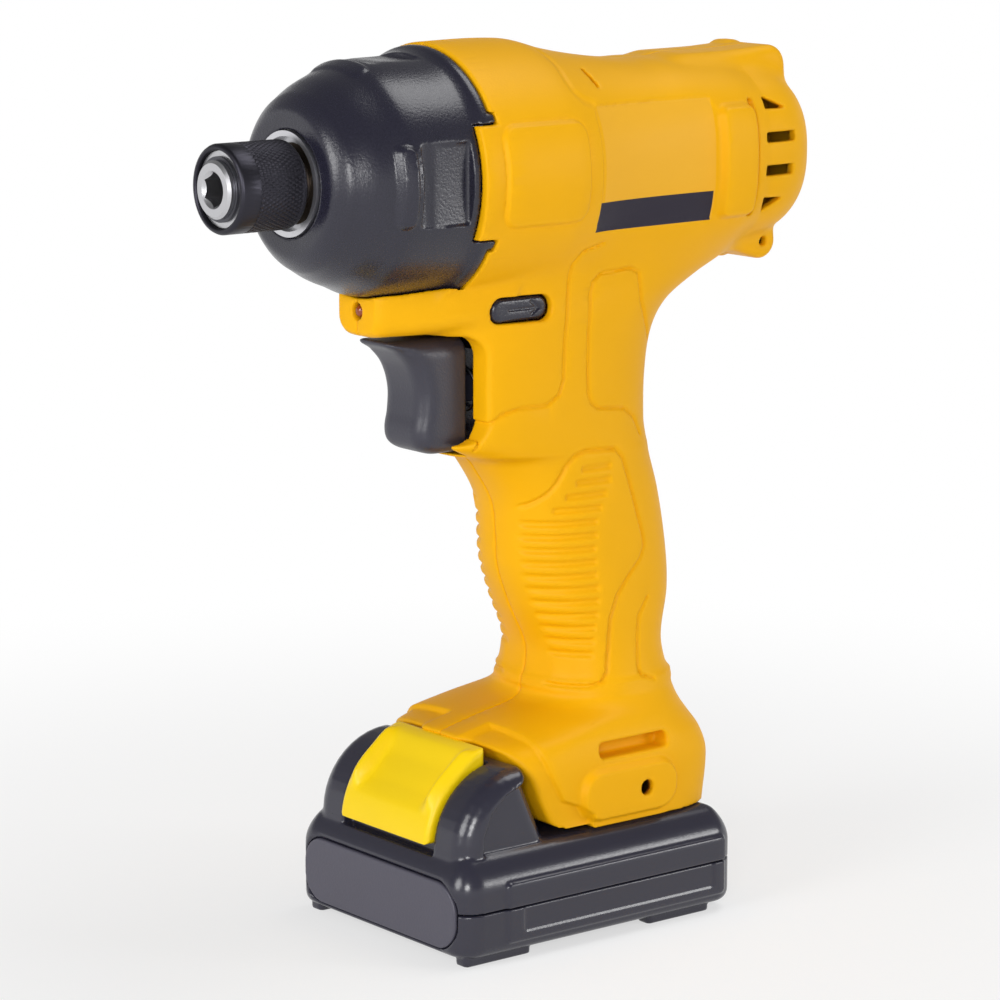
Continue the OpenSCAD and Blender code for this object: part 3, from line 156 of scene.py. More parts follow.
def curve(table, place, column):
    """Smooth curve through one column of a table of stations."""
    at = np.array([row[0] for row in table], dtype=np.float32)
    value = np.array([row[column] for row in table], dtype=np.float32)
    place = np.clip(place, at[0], at[-1])
    i = np.clip(np.searchsorted(at, place, side="left") - 1, 0, len(at) - 2)
    before = np.maximum(np.arange(len(at)) - 1, 0)
    after = np.minimum(np.arange(len(at)) + 1, len(at) - 1)
    slope = (value[after] - value[before]) / (at[after] - at[before])
    h = at[i + 1] - at[i]
    u = (place - at[i]) / h
    v = 1 - u
    return ((1 + 2 * u) * v * v * value[i] + u * v * v * h * slope[i]
            + u * u * (3 - 2 * u) * value[i + 1] - u * u * v * h * slope[i + 1])


def ease(t):
    """Smooth step from nought to one."""
    t = np.clip(t, 0, 1)
    return t * t * (3 - 2 * t)


def raised(flat, rise, edge):
    """Height of a raised outline, with a soft edge so wide."""
    return rise * ease(0.5 - flat / edge)


def either(*fields):
    """Union of fields, its corners sharp."""
    return functools.reduce(np.minimum, fields)


def both(*fields):
    """Intersection of fields, its edges sharp."""
    return functools.reduce(np.maximum, fields)


def without(a, b):
    """Field a with field b taken out, its edge sharp."""
    return np.maximum(a, -b)


def join(a, b, radius):
    """Union of two fields with a fillet."""
    h = np.maximum(radius - np.abs(a - b), 0) / radius
    return np.minimum(a, b) - h * h * radius * 0.25


def meet(a, b, radius):
    """Intersection of two fields with a rounded edge."""
    return -join(-a, -b, radius)


def cut(a, b, radius):
    """Field a with field b taken out, its edge broken."""
    return meet(a, -b, radius)


def section(u, v, half_u, half_v, power):
    """Distance from an outline between an ellipse and a rectangle."""
    f = np.power(np.power(np.abs(u) / half_u, power) + np.power(np.abs(v) / half_v, power) + 1e-9, 1 / power)
    return np.sqrt(u * u + v * v) * (1 - 1 / np.maximum(f, 0.05))


def slab(low, value, high):
    """Space between two planes."""
    return np.maximum(low - value, value - high)


def box(x, y, z, low, high):
    """Block between two corners."""
    return both(slab(low[0], x, high[0]), slab(low[1], y, high[1]), slab(low[2], z, high[2]))


def thicken(flat, depth, radius):
    """Solid with round edges from a flat field and its depth field."""
    a, b = flat + radius, depth + radius
    return np.hypot(np.maximum(a, 0), np.maximum(b, 0)) + np.minimum(np.maximum(a, b), 0) - radius


def soft_rect(u, v, low, high, radius):
    """Rectangle with round corners, in a plane."""
    return thicken(np.abs(u - (low[0] + high[0]) / 2) - (high[0] - low[0]) / 2,
                   np.abs(v - (low[1] + high[1]) / 2) - (high[1] - low[1]) / 2, radius)


def stick(u, v, start, end, radius):
    """Line with round ends, in a plane."""
    du, dv = end[0] - start[0], end[1] - start[1]
    t = np.clip(((u - start[0]) * du + (v - start[1]) * dv) / (du * du + dv * dv), 0, 1)
    return np.hypot(u - start[0] - t * du, v - start[1] - t * dv) - radius


def along(u, v, points):
    """Distance from a line through points, in a plane."""
    return either(*(stick(u, v, a, b, 0) for a, b in zip(points[:-1], points[1:])))


def inside(u, v, points):
    """Signed distance from a closed outline, in a plane."""
    closed = [*points, points[0]]
    best = along(u, v, closed)
    within = np.zeros(np.broadcast(u, v).shape, dtype=bool)
    for (au, av), (bu, bv) in zip(closed[:-1], closed[1:]):
        if av != bv:
            within ^= ((av > v) != (bv > v)) & (u < (bu - au) * (v - av) / (bv - av) + au)
    return np.where(within, -best, best)


def even(field, axes):
    """Field rescaled so that near its surface it gives true distances."""
    step = float(axes[0][1, 0, 0] - axes[0][0, 0, 0])
    slope = sum(np.square(part) for part in np.gradient(field, step))
    return field / np.clip(np.sqrt(slope), 0.6, 6)


def lattice(low, high, step):
    """Places along x, y and z, shaped to spread over a block."""
    axes = [np.arange(a, b + step, step, dtype=np.float32) for a, b in zip(low, high)]
    return axes[0][:, None, None], axes[1][None, :, None], axes[2][None, None, :]


# Meshes

BAND = 3  # Voxels on each side of a surface that keep their distance


def skin(name, field, axes, faces):
    """Mesh of the zero surface of a field, thinned to about so many triangles."""
    step = float(axes[0][1, 0, 0] - axes[0][0, 0, 0])
    low = np.array([float(axis[0, 0, 0]) for axis in axes])
    grid = openvdb.FloatGrid(BAND * step)
    grid.copyFromArray(np.clip(field, -BAND * step, BAND * step).astype(np.float32))
    points, quads = grid.convertToQuads(0.0)
    points = ((low + points * step + TIP) * MM).astype(np.float32)
    mesh = bpy.data.meshes.new(name)
    mesh.vertices.add(len(points))
    mesh.vertices.foreach_set("co", points.ravel())
    mesh.loops.add(len(quads) * 4)
    mesh.loops.foreach_set("vertex_index", quads[:, ::-1].astype(np.int32).ravel())
    mesh.polygons.add(len(quads))
    mesh.polygons.foreach_set("loop_start", np.arange(0, 4 * len(quads), 4, dtype=np.int32))
    mesh.update(calc_edges=True)
    mesh.validate()
    piece = linked(name, mesh)
    thin = piece.modifiers.new("thin", "DECIMATE")
    thin.ratio = min(1.0, faces / (2 * len(quads)))
    settle(piece)
    piece.data.shade_smooth()
    return piece


def settle(piece):
    """Applies a piece's modifiers to its mesh."""
    graph = bpy.context.evaluated_depsgraph_get()
    done = bpy.data.meshes.new_from_object(piece.evaluated_get(graph))
    old = piece.data
    piece.modifiers.clear()
    piece.data = done
    done.name = piece.name
    bpy.data.meshes.remove(old)


def bridge(bm, rings):
    """Faces between each ring of points and the next."""
    for one, two in zip(rings, rings[1:]):
        for k in range(len(one)):
            n = (k + 1) % len(one)
            bm.faces.new((one[k], two[k], two[n], one[n]))


def linked(name, data):
    """Object in the scene for a mesh, a lamp or a camera."""
    piece = bpy.data.objects.new(name, data)
    bpy.context.scene.collection.objects.link(piece)
    return piece


def drawn(name, bm):
    """Piece from a mesh that has been drawn face by face."""
    mesh = bpy.data.meshes.new(name)
    bm.to_mesh(mesh)
    bm.free()
    return linked(name, mesh)


def smooth_piece(name, bm):
    """Piece from a closed mesh, shaded smooth."""
    bmesh.ops.recalc_face_normals(bm, faces=bm.faces)
    piece = drawn(name, bm)
    piece.data.shade_smooth()
    return piece


def dress(piece, body, slot, node, finish=None):
    """Puts a piece on its body in place of the solid that it stands for."""
    piece.data.materials.clear()
    piece.data.materials.append(FINISHES[finish or slot])
    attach(piece, body)
    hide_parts(node)


# Stations of the moulded forms

TAIL = 135.0  # Where the barrel starts to close
LENGTH = 155.0
COLLAR = 53.8  # Where the nose cover meets the housing
TONGUE = 49.8  # Front of the housing's tongue at each side of the cover
# Place along x, half width, height above the axis, depth below it, squareness
BARREL = (
    (49.8, 27.6, 27.6, 27.6, 2), (73.8, 27.6, 27.6, 27.6, 2), (82.8, 25.6, 25.4, 26.2, 2.1),
    (89.8, 24, 24, 25, 2.2), (97.8, 22.8, 22.8, 24.4, 2.4), (105.8, 22.2, 22, 24, 2.6),
    (112.8, 22, 22, 23.5, 2.7), (127, 22, 21.2, 22, 2.6), (TAIL, 20.8, 20.2, 20.5, 2.4))
# Depth below the axis, front, back, half width, squareness
HANDLE = (
    (16, 50.5, 140, 16.4, 2.4), (22, 50.5, 134, 16.6, 2.4), (26, 50.5, 126, 17, 2.5),
    (31, 50.5, 117, 17.2, 2.6), (37, 50.5, 112.5, 16.8, 2.7), (46, 50.5, 110.8, 16.4, 2.7),
    (57, 50.5, 110.6, 16.3, 2.7), (61, 57.4, 111.2, 16.3, 2.6), (62.6, 64.4, 111.6, 16.3, 2.5),
    (65, 67.2, 112.2, 16.3, 2.4), (73.8, 72.4, 114.6, 16.4, 2.4), (87.4, 73.8, 117, 16.7, 2.4),
    (96.4, 77, 117, 17, 2.4), (106.6, 81.75, 114.25, 17.7, 2.4), (114.5, 81.25, 115.65, 18.9, 2.4))
BASE = (
    (114.5, 81.25, 115.65, 18.9, 2.4), (118.5, 78.25, 116.25, 21.5, 2.5), (121, 66, 116.8, 23.6, 2.9),
    (123.5, 56, 117.8, 25, 3.4), (127, 53, 119, 26, 4.2), (132, 53, 119.4, 26.5, 5),
    (143, 53, 118.2, 26.5, 5))
# Place along x, half width, level, half height, squareness
CHIN = (
    (36.2, 6.4, -27.4, 5.4, 3.4), (37.4, 7.4, -27, 6.7, 3.6), (41, 9, -27, 6.9, 3.4),
    (46, 11.2, -27, 7, 3.2), (54, 14.2, -27, 7, 3), (66, 16.4, -27, 7.4, 2.8))
# Place along x and radius of the nose cover
COVER = (
    (18.75, 15.8), (21.05, 18.4), (22.6, 19.4), (26.05, 21.4), (30.25, 23.1), (33.75, 24.6), (39.8, 25.3),
    (48.8, 25.8), (50.6, 26.4), (51.6, 27), (53.8, 27.2))
COVER_FRONT = COVER[0][0]
# Front of the trigger: depth below the axis and place along x
TRIGGER = (
    (34.6, 39.8), (35.8, 40.6), (37.4, 43.2), (41, 46.4), (46, 48.1), (51, 48), (55, 47.3), (58.2, 48.2),
    (60.4, 51.6))

# Lines and outlines of the side, as x and z
BASE_FRONT = (
    (30, -120), (57.2, -123.1), (60.3, -126), (63.7, -131), (65.7, -136.4), (68, -141), (70.8, -143.3),
    (70.8, -150), (30, -150))
TRIGGER_PANEL = (
    (87, -15.7), (81.3, -17.1), (79.6, -19.9), (80, -25.5), (79.9, -28.7), (79.4, -35.3), (79.4, -45),
    (78.2, -48.3), (75, -50.3), (67.9, -50.3), (63.7, -51.2), (60.9, -53.2), (59.3, -56.2), (58.6, -58.7))
REAR_PANEL = (
    (108, -40), (104.5, -35), (101.5, -30), (99.9, -23.4), (97.5, -22.2), (88.8, -22.7), (86.8, -24.3),
    (86.1, -27.3), (85.9, -35.1), (86.4, -48.6), (87.4, -51), (89.2, -52.4), (97.7, -53.4), (101.4, -55.8),
    (104, -60))
GRIP_PANEL = (
    (70.5, -75), (73.4, -74), (75.2, -72.8), (77.5, -70.7), (79.2, -67.9), (80.7, -64.4), (82.6, -62.3),
    (85.5, -61.4), (94.3, -61.9), (96.5, -64.1), (98, -68.7), (100, -74.9), (102.2, -82), (102.7, -84.5),
    (101.4, -87.1), (98, -90.2), (94.4, -94.5), (92.4, -99.5), (91.8, -106.3), (91.1, -111.5),
    (89.6, -113.5), (86.9, -114.2), (82.5, -114.2), (78, -113.5))
NECK_LINE = (
    (103.4, -96.2), (100.4, -100.1), (99.9, -104.1), (99.3, -111.1), (99.8, -113.1), (103.4, -114.2))
COLLAR_LINE = ((78.1, 25.5), (78.5, 22.8), (77.9, 19.4), (78.5, 17.3), (80.4, 15.4), (83.1, 14.4))
SKIRT = (
    (52, -120.5), (57.4, -124.2), (60.2, -126.2), (63.7, -131), (65.7, -136.4), (68, -141), (70.5, -143.5),
    (80, -143.5), (79, -139.5), (75.9, -137.4), (71.8, -135.7), (69.1, -130.3), (67.1, -125.1),
    (66.2, -120.5))
RIB_STARTS = (84.8, 83.5, 81.4, 79.1, 73.6, 73.6, 73.9, 74.4, 75.1, 76.1, 77.4, 78.8, 80.2, 81.5, 82.5)
RIB_ENDS = (92.7, 92.6, 91.4, 90.2, 89, 89, 88.6, 88.8, 89, 89.6, 89.6, 89.4, 88.9, 88.7, 88.5)
RIB_TOP = -65.4
RIB_PITCH = 2.99
RIB_HALF_GAP = 0.62

# Pads and openings of the side: low corner, high corner and corner radius
COLLAR_PAD = ((55, -9.8), (78.1, 11.8), 3.6)
FILM_SEAT = ((82.8, -13), (118.2, 14), 2.2)
REAR_PAD = ((119.2, -12.6), (129, 11.9), 2.2)
REAR_GROOVE = ((129, -12.8), (130.6, 12.8), 0.6)
HOOK_PAD = ((76.2, -141.5), (103.4, -130), 5.4)
HOOK_POCKET = ((82.3, -128.2), (101.9, -124.7), 1.4)
FINGER_GAP = ((20, -57.8), (60.5, -34.2), 5)
TRIGGER_ROOM = ((20, -60.5), (66.5, -34.3), 1.5)
SELECTOR_SLOT = ((60.2, -31.7), (75.8, -25.9), 2.8)
VENT_SLOTS = (((133.7, 2.9), (142.9, 5.2), 0.4), ((133.4, -4.4), (142.2, -2.1), 0.4))
VENT_CORNERS = (((134.6, 13), (141.2, 10.1), (134.5, 10.2)), ((133.8, -9.3), (140, -9.5), (134.4, -12.4)))
# Lugs at the tail and slit on top: start, end and radius
TOP_LUG = ((121, 17.2), (145.5, 18.8), 4.5)
LOW_LUG = ((131, -16.5), (143.3, -20.6), 4.1)
LUG_WIDTH = 9
SLIT = ((86.5, 20.8), (87.4, 17.6), 0.42)
# Printed film and its strip: low and high corner
FILM = ((84, -12.8), (117.8, 13.8))
FILM_STRIP = ((82.8, -12.9), (117.4, -6.4))
HOOK_HOLE = (94, -135.8)
LIGHT_LEVEL = -28.2
# Screws of the far half: place and how far the boss stands out from the middle
SCREWS = (
    ((145, 19.4), 9), ((143, -21), 9), ((50, -29.4), 9), ((103, -36), 13), ((108.9, -80.6), 12),
    ((108, -109.5), 14), ((113.4, -134), 18))

# Battery
DECK = -143.3
SEAM = -155.3
SEAM_GAP = 0.12
FLOOR = -165.3
FEET = -167.2
PACK = ((40.6, -30.8), (118.6, 30.8), 6)
PLATE_SEAT = ((-27.6, -164), (27.6, -149), 6.5)
PLATE = ((-27.4, -163.8), (27.4, -149.2), 6.3)
BULL_X, BULL_Z, BULL_RADIUS = 61, -144, 17.5
LATCH_Z = -144.1
FACET = ((49.2, -147), (49.4, -140), (51.4, -135), (55.2, -131.6), (61.5, -129.3), (75, -129), (75, -147))
RAILS = (
    ((74, -13.4, -144), (106, 13.4, -138.2)), ((74, -16.4, -138.3), (106, 16.4, -135.7)),
    ((80, -11, -138.3), (99, 11, -129.3)))
# Room in the base for the rails and the latch
ROOMS = (
    ((30, -16.7, -138.6), (106.3, 16.7, -135.4)), ((30, -13.7, -146), (106.3, 13.7, -138.3)),
    ((30, -11.3, -138.3), (99.3, 11.3, -129)), ((30, -17, -143), (58.9, 17, -124.9)))
CONTACTS = (-7, 0, 7)


def barrel(x, y, z):
    """Motor barrel with its rounded tail."""
    width, up, down, power = (curve(BARREL, np.minimum(x, TAIL), c) for c in (1, 2, 3, 4))
    over = np.clip((x - TAIL) / (LENGTH - TAIL), 0, 0.995)
    shrink = np.power(1 - np.power(over, 2.5), 0.4)
    d = section(y, z, width * shrink, np.where(z > 0, up, down) * shrink, power)
    d = d * np.where(x > TAIL, np.maximum(shrink, 0.3), 1)
    return both(d, x - LENGTH, TONGUE - x)


def upright(table, x, y, z):
    """Handle or base, from its stations down from the axis."""
    front, back, width, power = (curve(table, -z, c) for c in (1, 2, 3, 4))
    d = section(x - (front + back) / 2, y, (back - front) / 2, width, power)
    return both(d, slab(table[0][0], -z, table[-1][0]))


def chin(x, y, z):
    """Chin over the trigger, which holds the work light."""
    width, level, height, power = (curve(CHIN, x, c) for c in (1, 2, 3, 4))
    return both(section(y, z - level, width, height, power), slab(CHIN[0][0], x, CHIN[-1][0]))


def cover_radius(x):
    """Outer radius of the nose cover."""
    return curve(COVER, np.maximum(x, COVER_FRONT), 1)


def cover_side(x, y, z):
    """Round side of the nose cover, without its ends."""
    return (np.hypot(y, z) - cover_radius(x)) * 0.9


def dome(x, y, z):
    """Bull nose of the battery."""
    arc = [(BULL_X - BULL_RADIUS * math.cos(a), BULL_Z + BULL_RADIUS * math.sin(a))
           for a in np.linspace(0.03, math.pi / 2, 12)]
    profile = inside(x, z, [(43.5, -147)] + arc + [(62, -127.4), (69, -143.3), (69, -147)])
    return thicken(profile, np.abs(y) - 27.3, 5.0)


def blocks(x, y, z, corners):
    """Union of blocks."""
    return either(*(box(x, y, z, low, high) for low, high in corners))


def housing_form(axes):
    """Outside of the housing, before its lines and openings."""
    x, y, z = axes
    form = join(barrel(x, y, z), upright(HANDLE, x, y, z), 7)
    form = join(form, upright(BASE, x, y, z), 3)
    form = join(form, chin(x, y, z), 2.5)
    form = join(form, thicken(stick(x, z, *TOP_LUG), np.abs(y) - LUG_WIDTH, 2.2), 4)
    form = join(form, thicken(stick(x, z, *LOW_LUG), np.abs(y) - LUG_WIDTH, 1.6), 3)
    form = even(form, axes)
    form = cut(form, soft_rect(x, z, *FINGER_GAP), 1.2)
    return cut(form, inside(x, z, BASE_FRONT), 1.4)


def side_relief(sizes, axes, left):
    """Depth of the lines and pads of a side, drawn square to it; only the left has the seat of the film."""
    x, y, z = axes

    def line(points, depth=sizes.line_depth, width=sizes.line_width):
        return depth * ease(1 - along(x, z, points) / width)

    relief = line(TRIGGER_PANEL) + line(REAR_PANEL) + line(NECK_LINE) + line(COLLAR_LINE, 0.35, 1.3)
    relief = np.maximum(relief, line(GRIP_PANEL, sizes.line_depth + 0.1, sizes.line_width + 0.1))
    relief = relief - raised(inside(x, z, GRIP_PANEL), 0.25, 1.2)
    for i, (start, end) in enumerate(zip(RIB_STARTS, RIB_ENDS)):
        level = RIB_TOP - RIB_PITCH * i
        gap = soft_rect(x, z, (start, level - RIB_HALF_GAP), (end, level + RIB_HALF_GAP), 0.3)
        relief = relief + raised(gap, sizes.rib_depth, 0.8)
    pad = soft_rect(x, z, *COLLAR_PAD)
    relief = relief - raised(pad, sizes.pad_rise, 0.7) + 0.4 * ease(1 - np.abs(pad) / 0.6)
    if left:
        relief = relief + raised(soft_rect(x, z, *FILM_SEAT), 0.4, 0.5)
    relief = relief - raised(soft_rect(x, z, *REAR_PAD), 1.9, 1.2)
    relief = relief + raised(soft_rect(x, z, *REAR_GROOVE), 1.5, 0.7)
    relief = relief + raised(inside(x, z, SKIRT), 1.2, 0.7)
    pad = soft_rect(x, z, *HOOK_PAD)
    relief = relief - raised(pad, 1.7, 1.6)
    relief = relief + 0.5 * ease(1 - np.abs(pad) / 1.0)
    return relief * ease((-6 - y) / 3)


def housing_field(sizes, axes, left):
    """Half of the housing on the -y side."""
    x, y, z = axes
    reach = np.hypot(y, z)
    form = housing_form(axes)
    shell = without(form + side_relief(sizes, axes, left), form + sizes.wall)

    # Pocket for the tongue of a belt hook, closed behind
    pocket = soft_rect(x, z, *HOOK_POCKET)
    shell = either(shell, both(pocket - 1.6, y + 19.5, form + 0.8))
    shell = cut(shell, both(pocket, y + 21), 0.8)

    # Front edge, with a tongue at each side and a notch above and below it, and the bores behind
    tab = slab(12, np.abs(z), 14.4)
    edge = np.where(np.abs(z) < 12, TONGUE, np.where(tab < 0, COLLAR + 1.2, COLLAR))
    shell = cut(shell, both(x - edge, -23 - z, reach - 40), 0.4)
    seat = both(cover_side(x, y, z), slab(COVER_FRONT, x, COLLAR))
    shell = cut(shell, both(seat - 0.25, x - edge), 0.4)
    shell = without(shell, both(reach - 25.2, slab(44, x, 73)))
    shell = without(shell, both(reach - 16.9, slab(72, x, 134.2)))

    # Openings for the controls, the light, the vents, the hook's insert and the battery
    shell = cut(shell, thicken(soft_rect(x, z, *TRIGGER_ROOM), np.abs(y) - 8.35, 0.5), 0.8)
    shell = cut(shell, both(soft_rect(x, z, *SELECTOR_SLOT), y + 6), 0.5)
    shell = cut(shell, both(np.hypot(y, z - LIGHT_LEVEL) - 1.8, x - 47), 0.4)
    shell = without(shell, both(stick(x, z, *SLIT), y + 8))
    vents = either(*(soft_rect(x, z, *slot) for slot in VENT_SLOTS),
                   *(inside(x, z, corner) for corner in VENT_CORNERS))
    shell = cut(shell, both(vents, y + 7), 0.3)
    hole = np.hypot(x - HOOK_HOLE[0], z - HOOK_HOLE[1])
    shell = cut(shell, both(hole - 1.75, y + 26.4), 0.4)
    shell = without(shell, both(hole - 3.05, slab(-26.45, y, -21.8)))
    shell = cut(shell, either(dome(x, y, z) - 0.3, blocks(x, y, z, ROOMS)), 0.5)
    return both(shell, -143.0 - z, y + sizes.parting / 2)


def latch_profile(x, z, grow):
    """Side view of the latch: a saddle round the battery's bull nose."""
    reach = np.hypot(x - BULL_X, z - LATCH_Z)
    brow = 1.7 * ease((x - 48.5) / 9)
    band = both(reach - 18.9 - brow - grow, 15.3 - grow - reach)
    return both(band, -142.7 - grow - z, x - 58.3 - grow)


def upper_case(axes):
    """Upper shell of the battery: shoulders, bull nose, rails, and the saddle that the latch sinks into."""
    x, y, z = axes
    plan = soft_rect(x, y, *PACK)
    bull = dome(x, y, z)
    form = meet((plan + 4.6 * np.square(np.clip((z + 151.5) / 8.2, 0, 1))) * 0.8, z - DECK, 1.6)
    faceted = bull + raised(inside(x, z, FACET), 1.3, 0.7) * ease((np.abs(y) - 20) / 2)
    form = either(join(form, faceted, 0.8), blocks(x, y, z, RAILS))
    for c in CONTACTS:
        form = without(form, box(x, y, z, (85, c - 1.7, -134.7), (100, c + 1.7, -128)))
    side = soft_rect(x, z, (52.5, -170), (114.5, -149.6), 1.0)
    form = form - raised(side, 0.5, 0.7) * ease((np.abs(y) - 26) / 2)
    form = both(form, SEAM + SEAM_GAP - z)
    inner = plan + 5 * np.square(np.clip((z + 152) / 8.2, 0, 1)) + 2
    form = without(form, either(both(inner, z - DECK + 1.8, -158 - z), both(bull + 5, x - 67)))
    saddle, pressed = (thicken(latch_profile(x, z + drop, 0.35), np.abs(y) - 16.35, 0.3) for drop in (0, 2.0))
    form = cut(form, either(saddle, pressed), 0.5)
    return cut(form, both(soft_rect(y, z, *PLATE_SEAT), x - 41.9), 0.5)


def lower_case(axes):
    """Lower shell of the battery, with a bare sunk panel on each side and four feet."""
    x, y, z = axes
    plan = soft_rect(x, y, *PACK)
    sides = ease((np.abs(y) - 26) / 2)
    form = meet(plan, FLOOR - z, 3.0)
    form = form - raised(soft_rect(x, z, (52.5, -162.8), (114.5, -147), 1.0), 0.5, 0.7) * sides
    form = form + raised(soft_rect(x, z, (57, -160.9), (111, -154.4), 0.8), 0.3, 0.6) * sides
    form = both(form, z - SEAM + SEAM_GAP)
    form = without(form, both(plan + 1.6, FLOOR + 1.5 - z))
    for front in (43, 94):
        foot = soft_rect(x, np.abs(y), (front, 24.4), (front + 18, 28.6), 1.2)
        form = either(form, thicken(foot, slab(FEET, z, -164.4), 0.6))
    return cut(form, both(soft_rect(y, z, *PLATE_SEAT), x - 41.9), 0.5)


# Finishes

FINISHES = {}
MASK_EDGE = 5e-5  # Half the soft edge of a printed colour, in metres


def add(tree, kind, settings=None, links=None):
    """Adds a shader node, sets its properties or sockets, and links sockets to what feeds them: a socket, or
    the first output of a node."""
    node = tree.nodes.new("ShaderNode" + kind)
    for key, value in (settings or {}).items():
        if isinstance(key, str) and hasattr(node, key):
            setattr(node, key, value)
        else:
            node.inputs[key].default_value = value
    for key, source in (links or {}).items():
        tree.links.new(getattr(source, "outputs", [source])[0], node.inputs[key])
    return node


def backdrop_rays(tree):
    """One for the rays that show the white background: camera, glossy and transmission; none for light."""
    path = add(tree, "LightPath")
    seen = add(tree, "Math", {"operation": "MAXIMUM"},
               {0: path.outputs["Is Camera Ray"], 1: path.outputs["Is Glossy Ray"]})
    return add(tree, "Math", {"operation": "MAXIMUM"}, {0: seen, 1: path.outputs["Is Transmission Ray"]})


def blank(name):
    """Material with nothing in it but object coordinates, in metres."""
    finish = bpy.data.materials.new(name)
    finish.use_nodes = True
    finish.node_tree.nodes.clear()
    return finish, finish.node_tree, add(finish.node_tree, "TexCoord").outputs["Object"]


def per_metre(size_mm):
    """Noise scale whose features are about so many millimetres across."""
    return 1 / (size_mm * MM)


def rgba(colour, dim=1.0):
    """Colour for a socket, dimmed by a factor."""
    return (*(c * dim for c in colour), 1.0)


def within(tree, value, low, high):
    """Mask that is one between two places on an axis, in metres."""
    rise = add(tree, "MapRange", {"From Min": low - MASK_EDGE, "From Max": low + MASK_EDGE}, {0: value})
    fall = add(tree, "MapRange", {
        "From Min": high - MASK_EDGE, "From Max": high + MASK_EDGE, "To Min": 1.0, "To Max": 0.0}, {0: value})
    return add(tree, "Math", {"operation": "MULTIPLY"}, {0: rise, 1: fall})


def printed(tree, place, base, prints):
    """Colour with prints over it, each a colour between two corners of the side."""
    for colour, corners in prints:
        axes = add(tree, "SeparateXYZ", links={0: place}).outputs
        low, high = ((np.array([x, 0, z]) + TIP) * MM for x, z in corners)
        mask = add(tree, "Math", {"operation": "MULTIPLY"}, {
            0: within(tree, axes["X"], float(low[0]), float(high[0])),
            1: within(tree, axes["Z"], float(low[2]), float(high[2]))})
        base = add(tree, "Mix", {"data_type": "RGBA", 7: rgba(colour)}, {0: mask, 6: base}).outputs[2]
    return base


def moulded(name, colour, rough, grain_mm, grain_height, gloss=0.5, cloud=0.05, prints=()):
    """Plastic moulded in a spark eroded tool: a fine even grain that breaks up the highlights, and very
    slight clouds in the colour."""
    finish, tree, place = blank(name)
    clouds = add(tree, "TexNoise", {"Scale": per_metre(14), "Detail": 3.0}, {"Vector": place})
    light = tuple(min(1, c * (1 + cloud)) for c in colour)
    tint = add(tree, "Mix", {"data_type": "RGBA", 6: rgba(colour, 1 - cloud), 7: rgba(light)}, {0: clouds})
    grain = add(tree, "TexNoise", {"Scale": per_metre(grain_mm), "Detail": 2.0, "Roughness": 0.6},
                {"Vector": place})
    spread = add(tree, "MapRange", {"To Min": rough - 0.06, "To Max": rough + 0.06}, {0: grain})
    bump = add(tree, "Bump", {"Strength": 1.0, "Distance": grain_height * MM}, {"Height": grain})
    shader = add(tree, "BsdfPrincipled", {"IOR": 1.53, "Specular IOR Level": gloss}, {
        "Base Color": printed(tree, place, tint.outputs[2], prints), "Roughness": spread, "Normal": bump})
    add(tree, "OutputMaterial", links={"Surface": shader})
    return finish


def metal(name, hex_colour, rough, streak_mm=(2.0, 0.12, 0.12)):
    """Turned or ground metal: fine marks left by the tool make the highlights run in short streaks."""
    finish, tree, place = blank(name)
    stretch = add(tree, "Mapping", {"Scale": tuple(per_metre(s) for s in streak_mm)}, {"Vector": place})
    marks = add(tree, "TexNoise", {"Scale": 1.0, "Detail": 3.0}, {"Vector": stretch})
    spread = add(tree, "MapRange", {"To Min": rough - 0.08, "To Max": rough + 0.1}, {0: marks})
    colour = linear(hex_colour)
    tint = add(tree, "Mix", {"data_type": "RGBA", 6: rgba(colour, 0.88), 7: rgba(colour)}, {0: marks})
    bump = add(tree, "Bump", {"Strength": 0.5, "Distance": 0.012 * MM}, {"Height": marks})
    shader = add(tree, "BsdfPrincipled", {"Metallic": 1.0},
                 {"Base Color": tint.outputs[2], "Roughness": spread, "Normal": bump})
    add(tree, "OutputMaterial", links={"Surface": shader})
    return finish


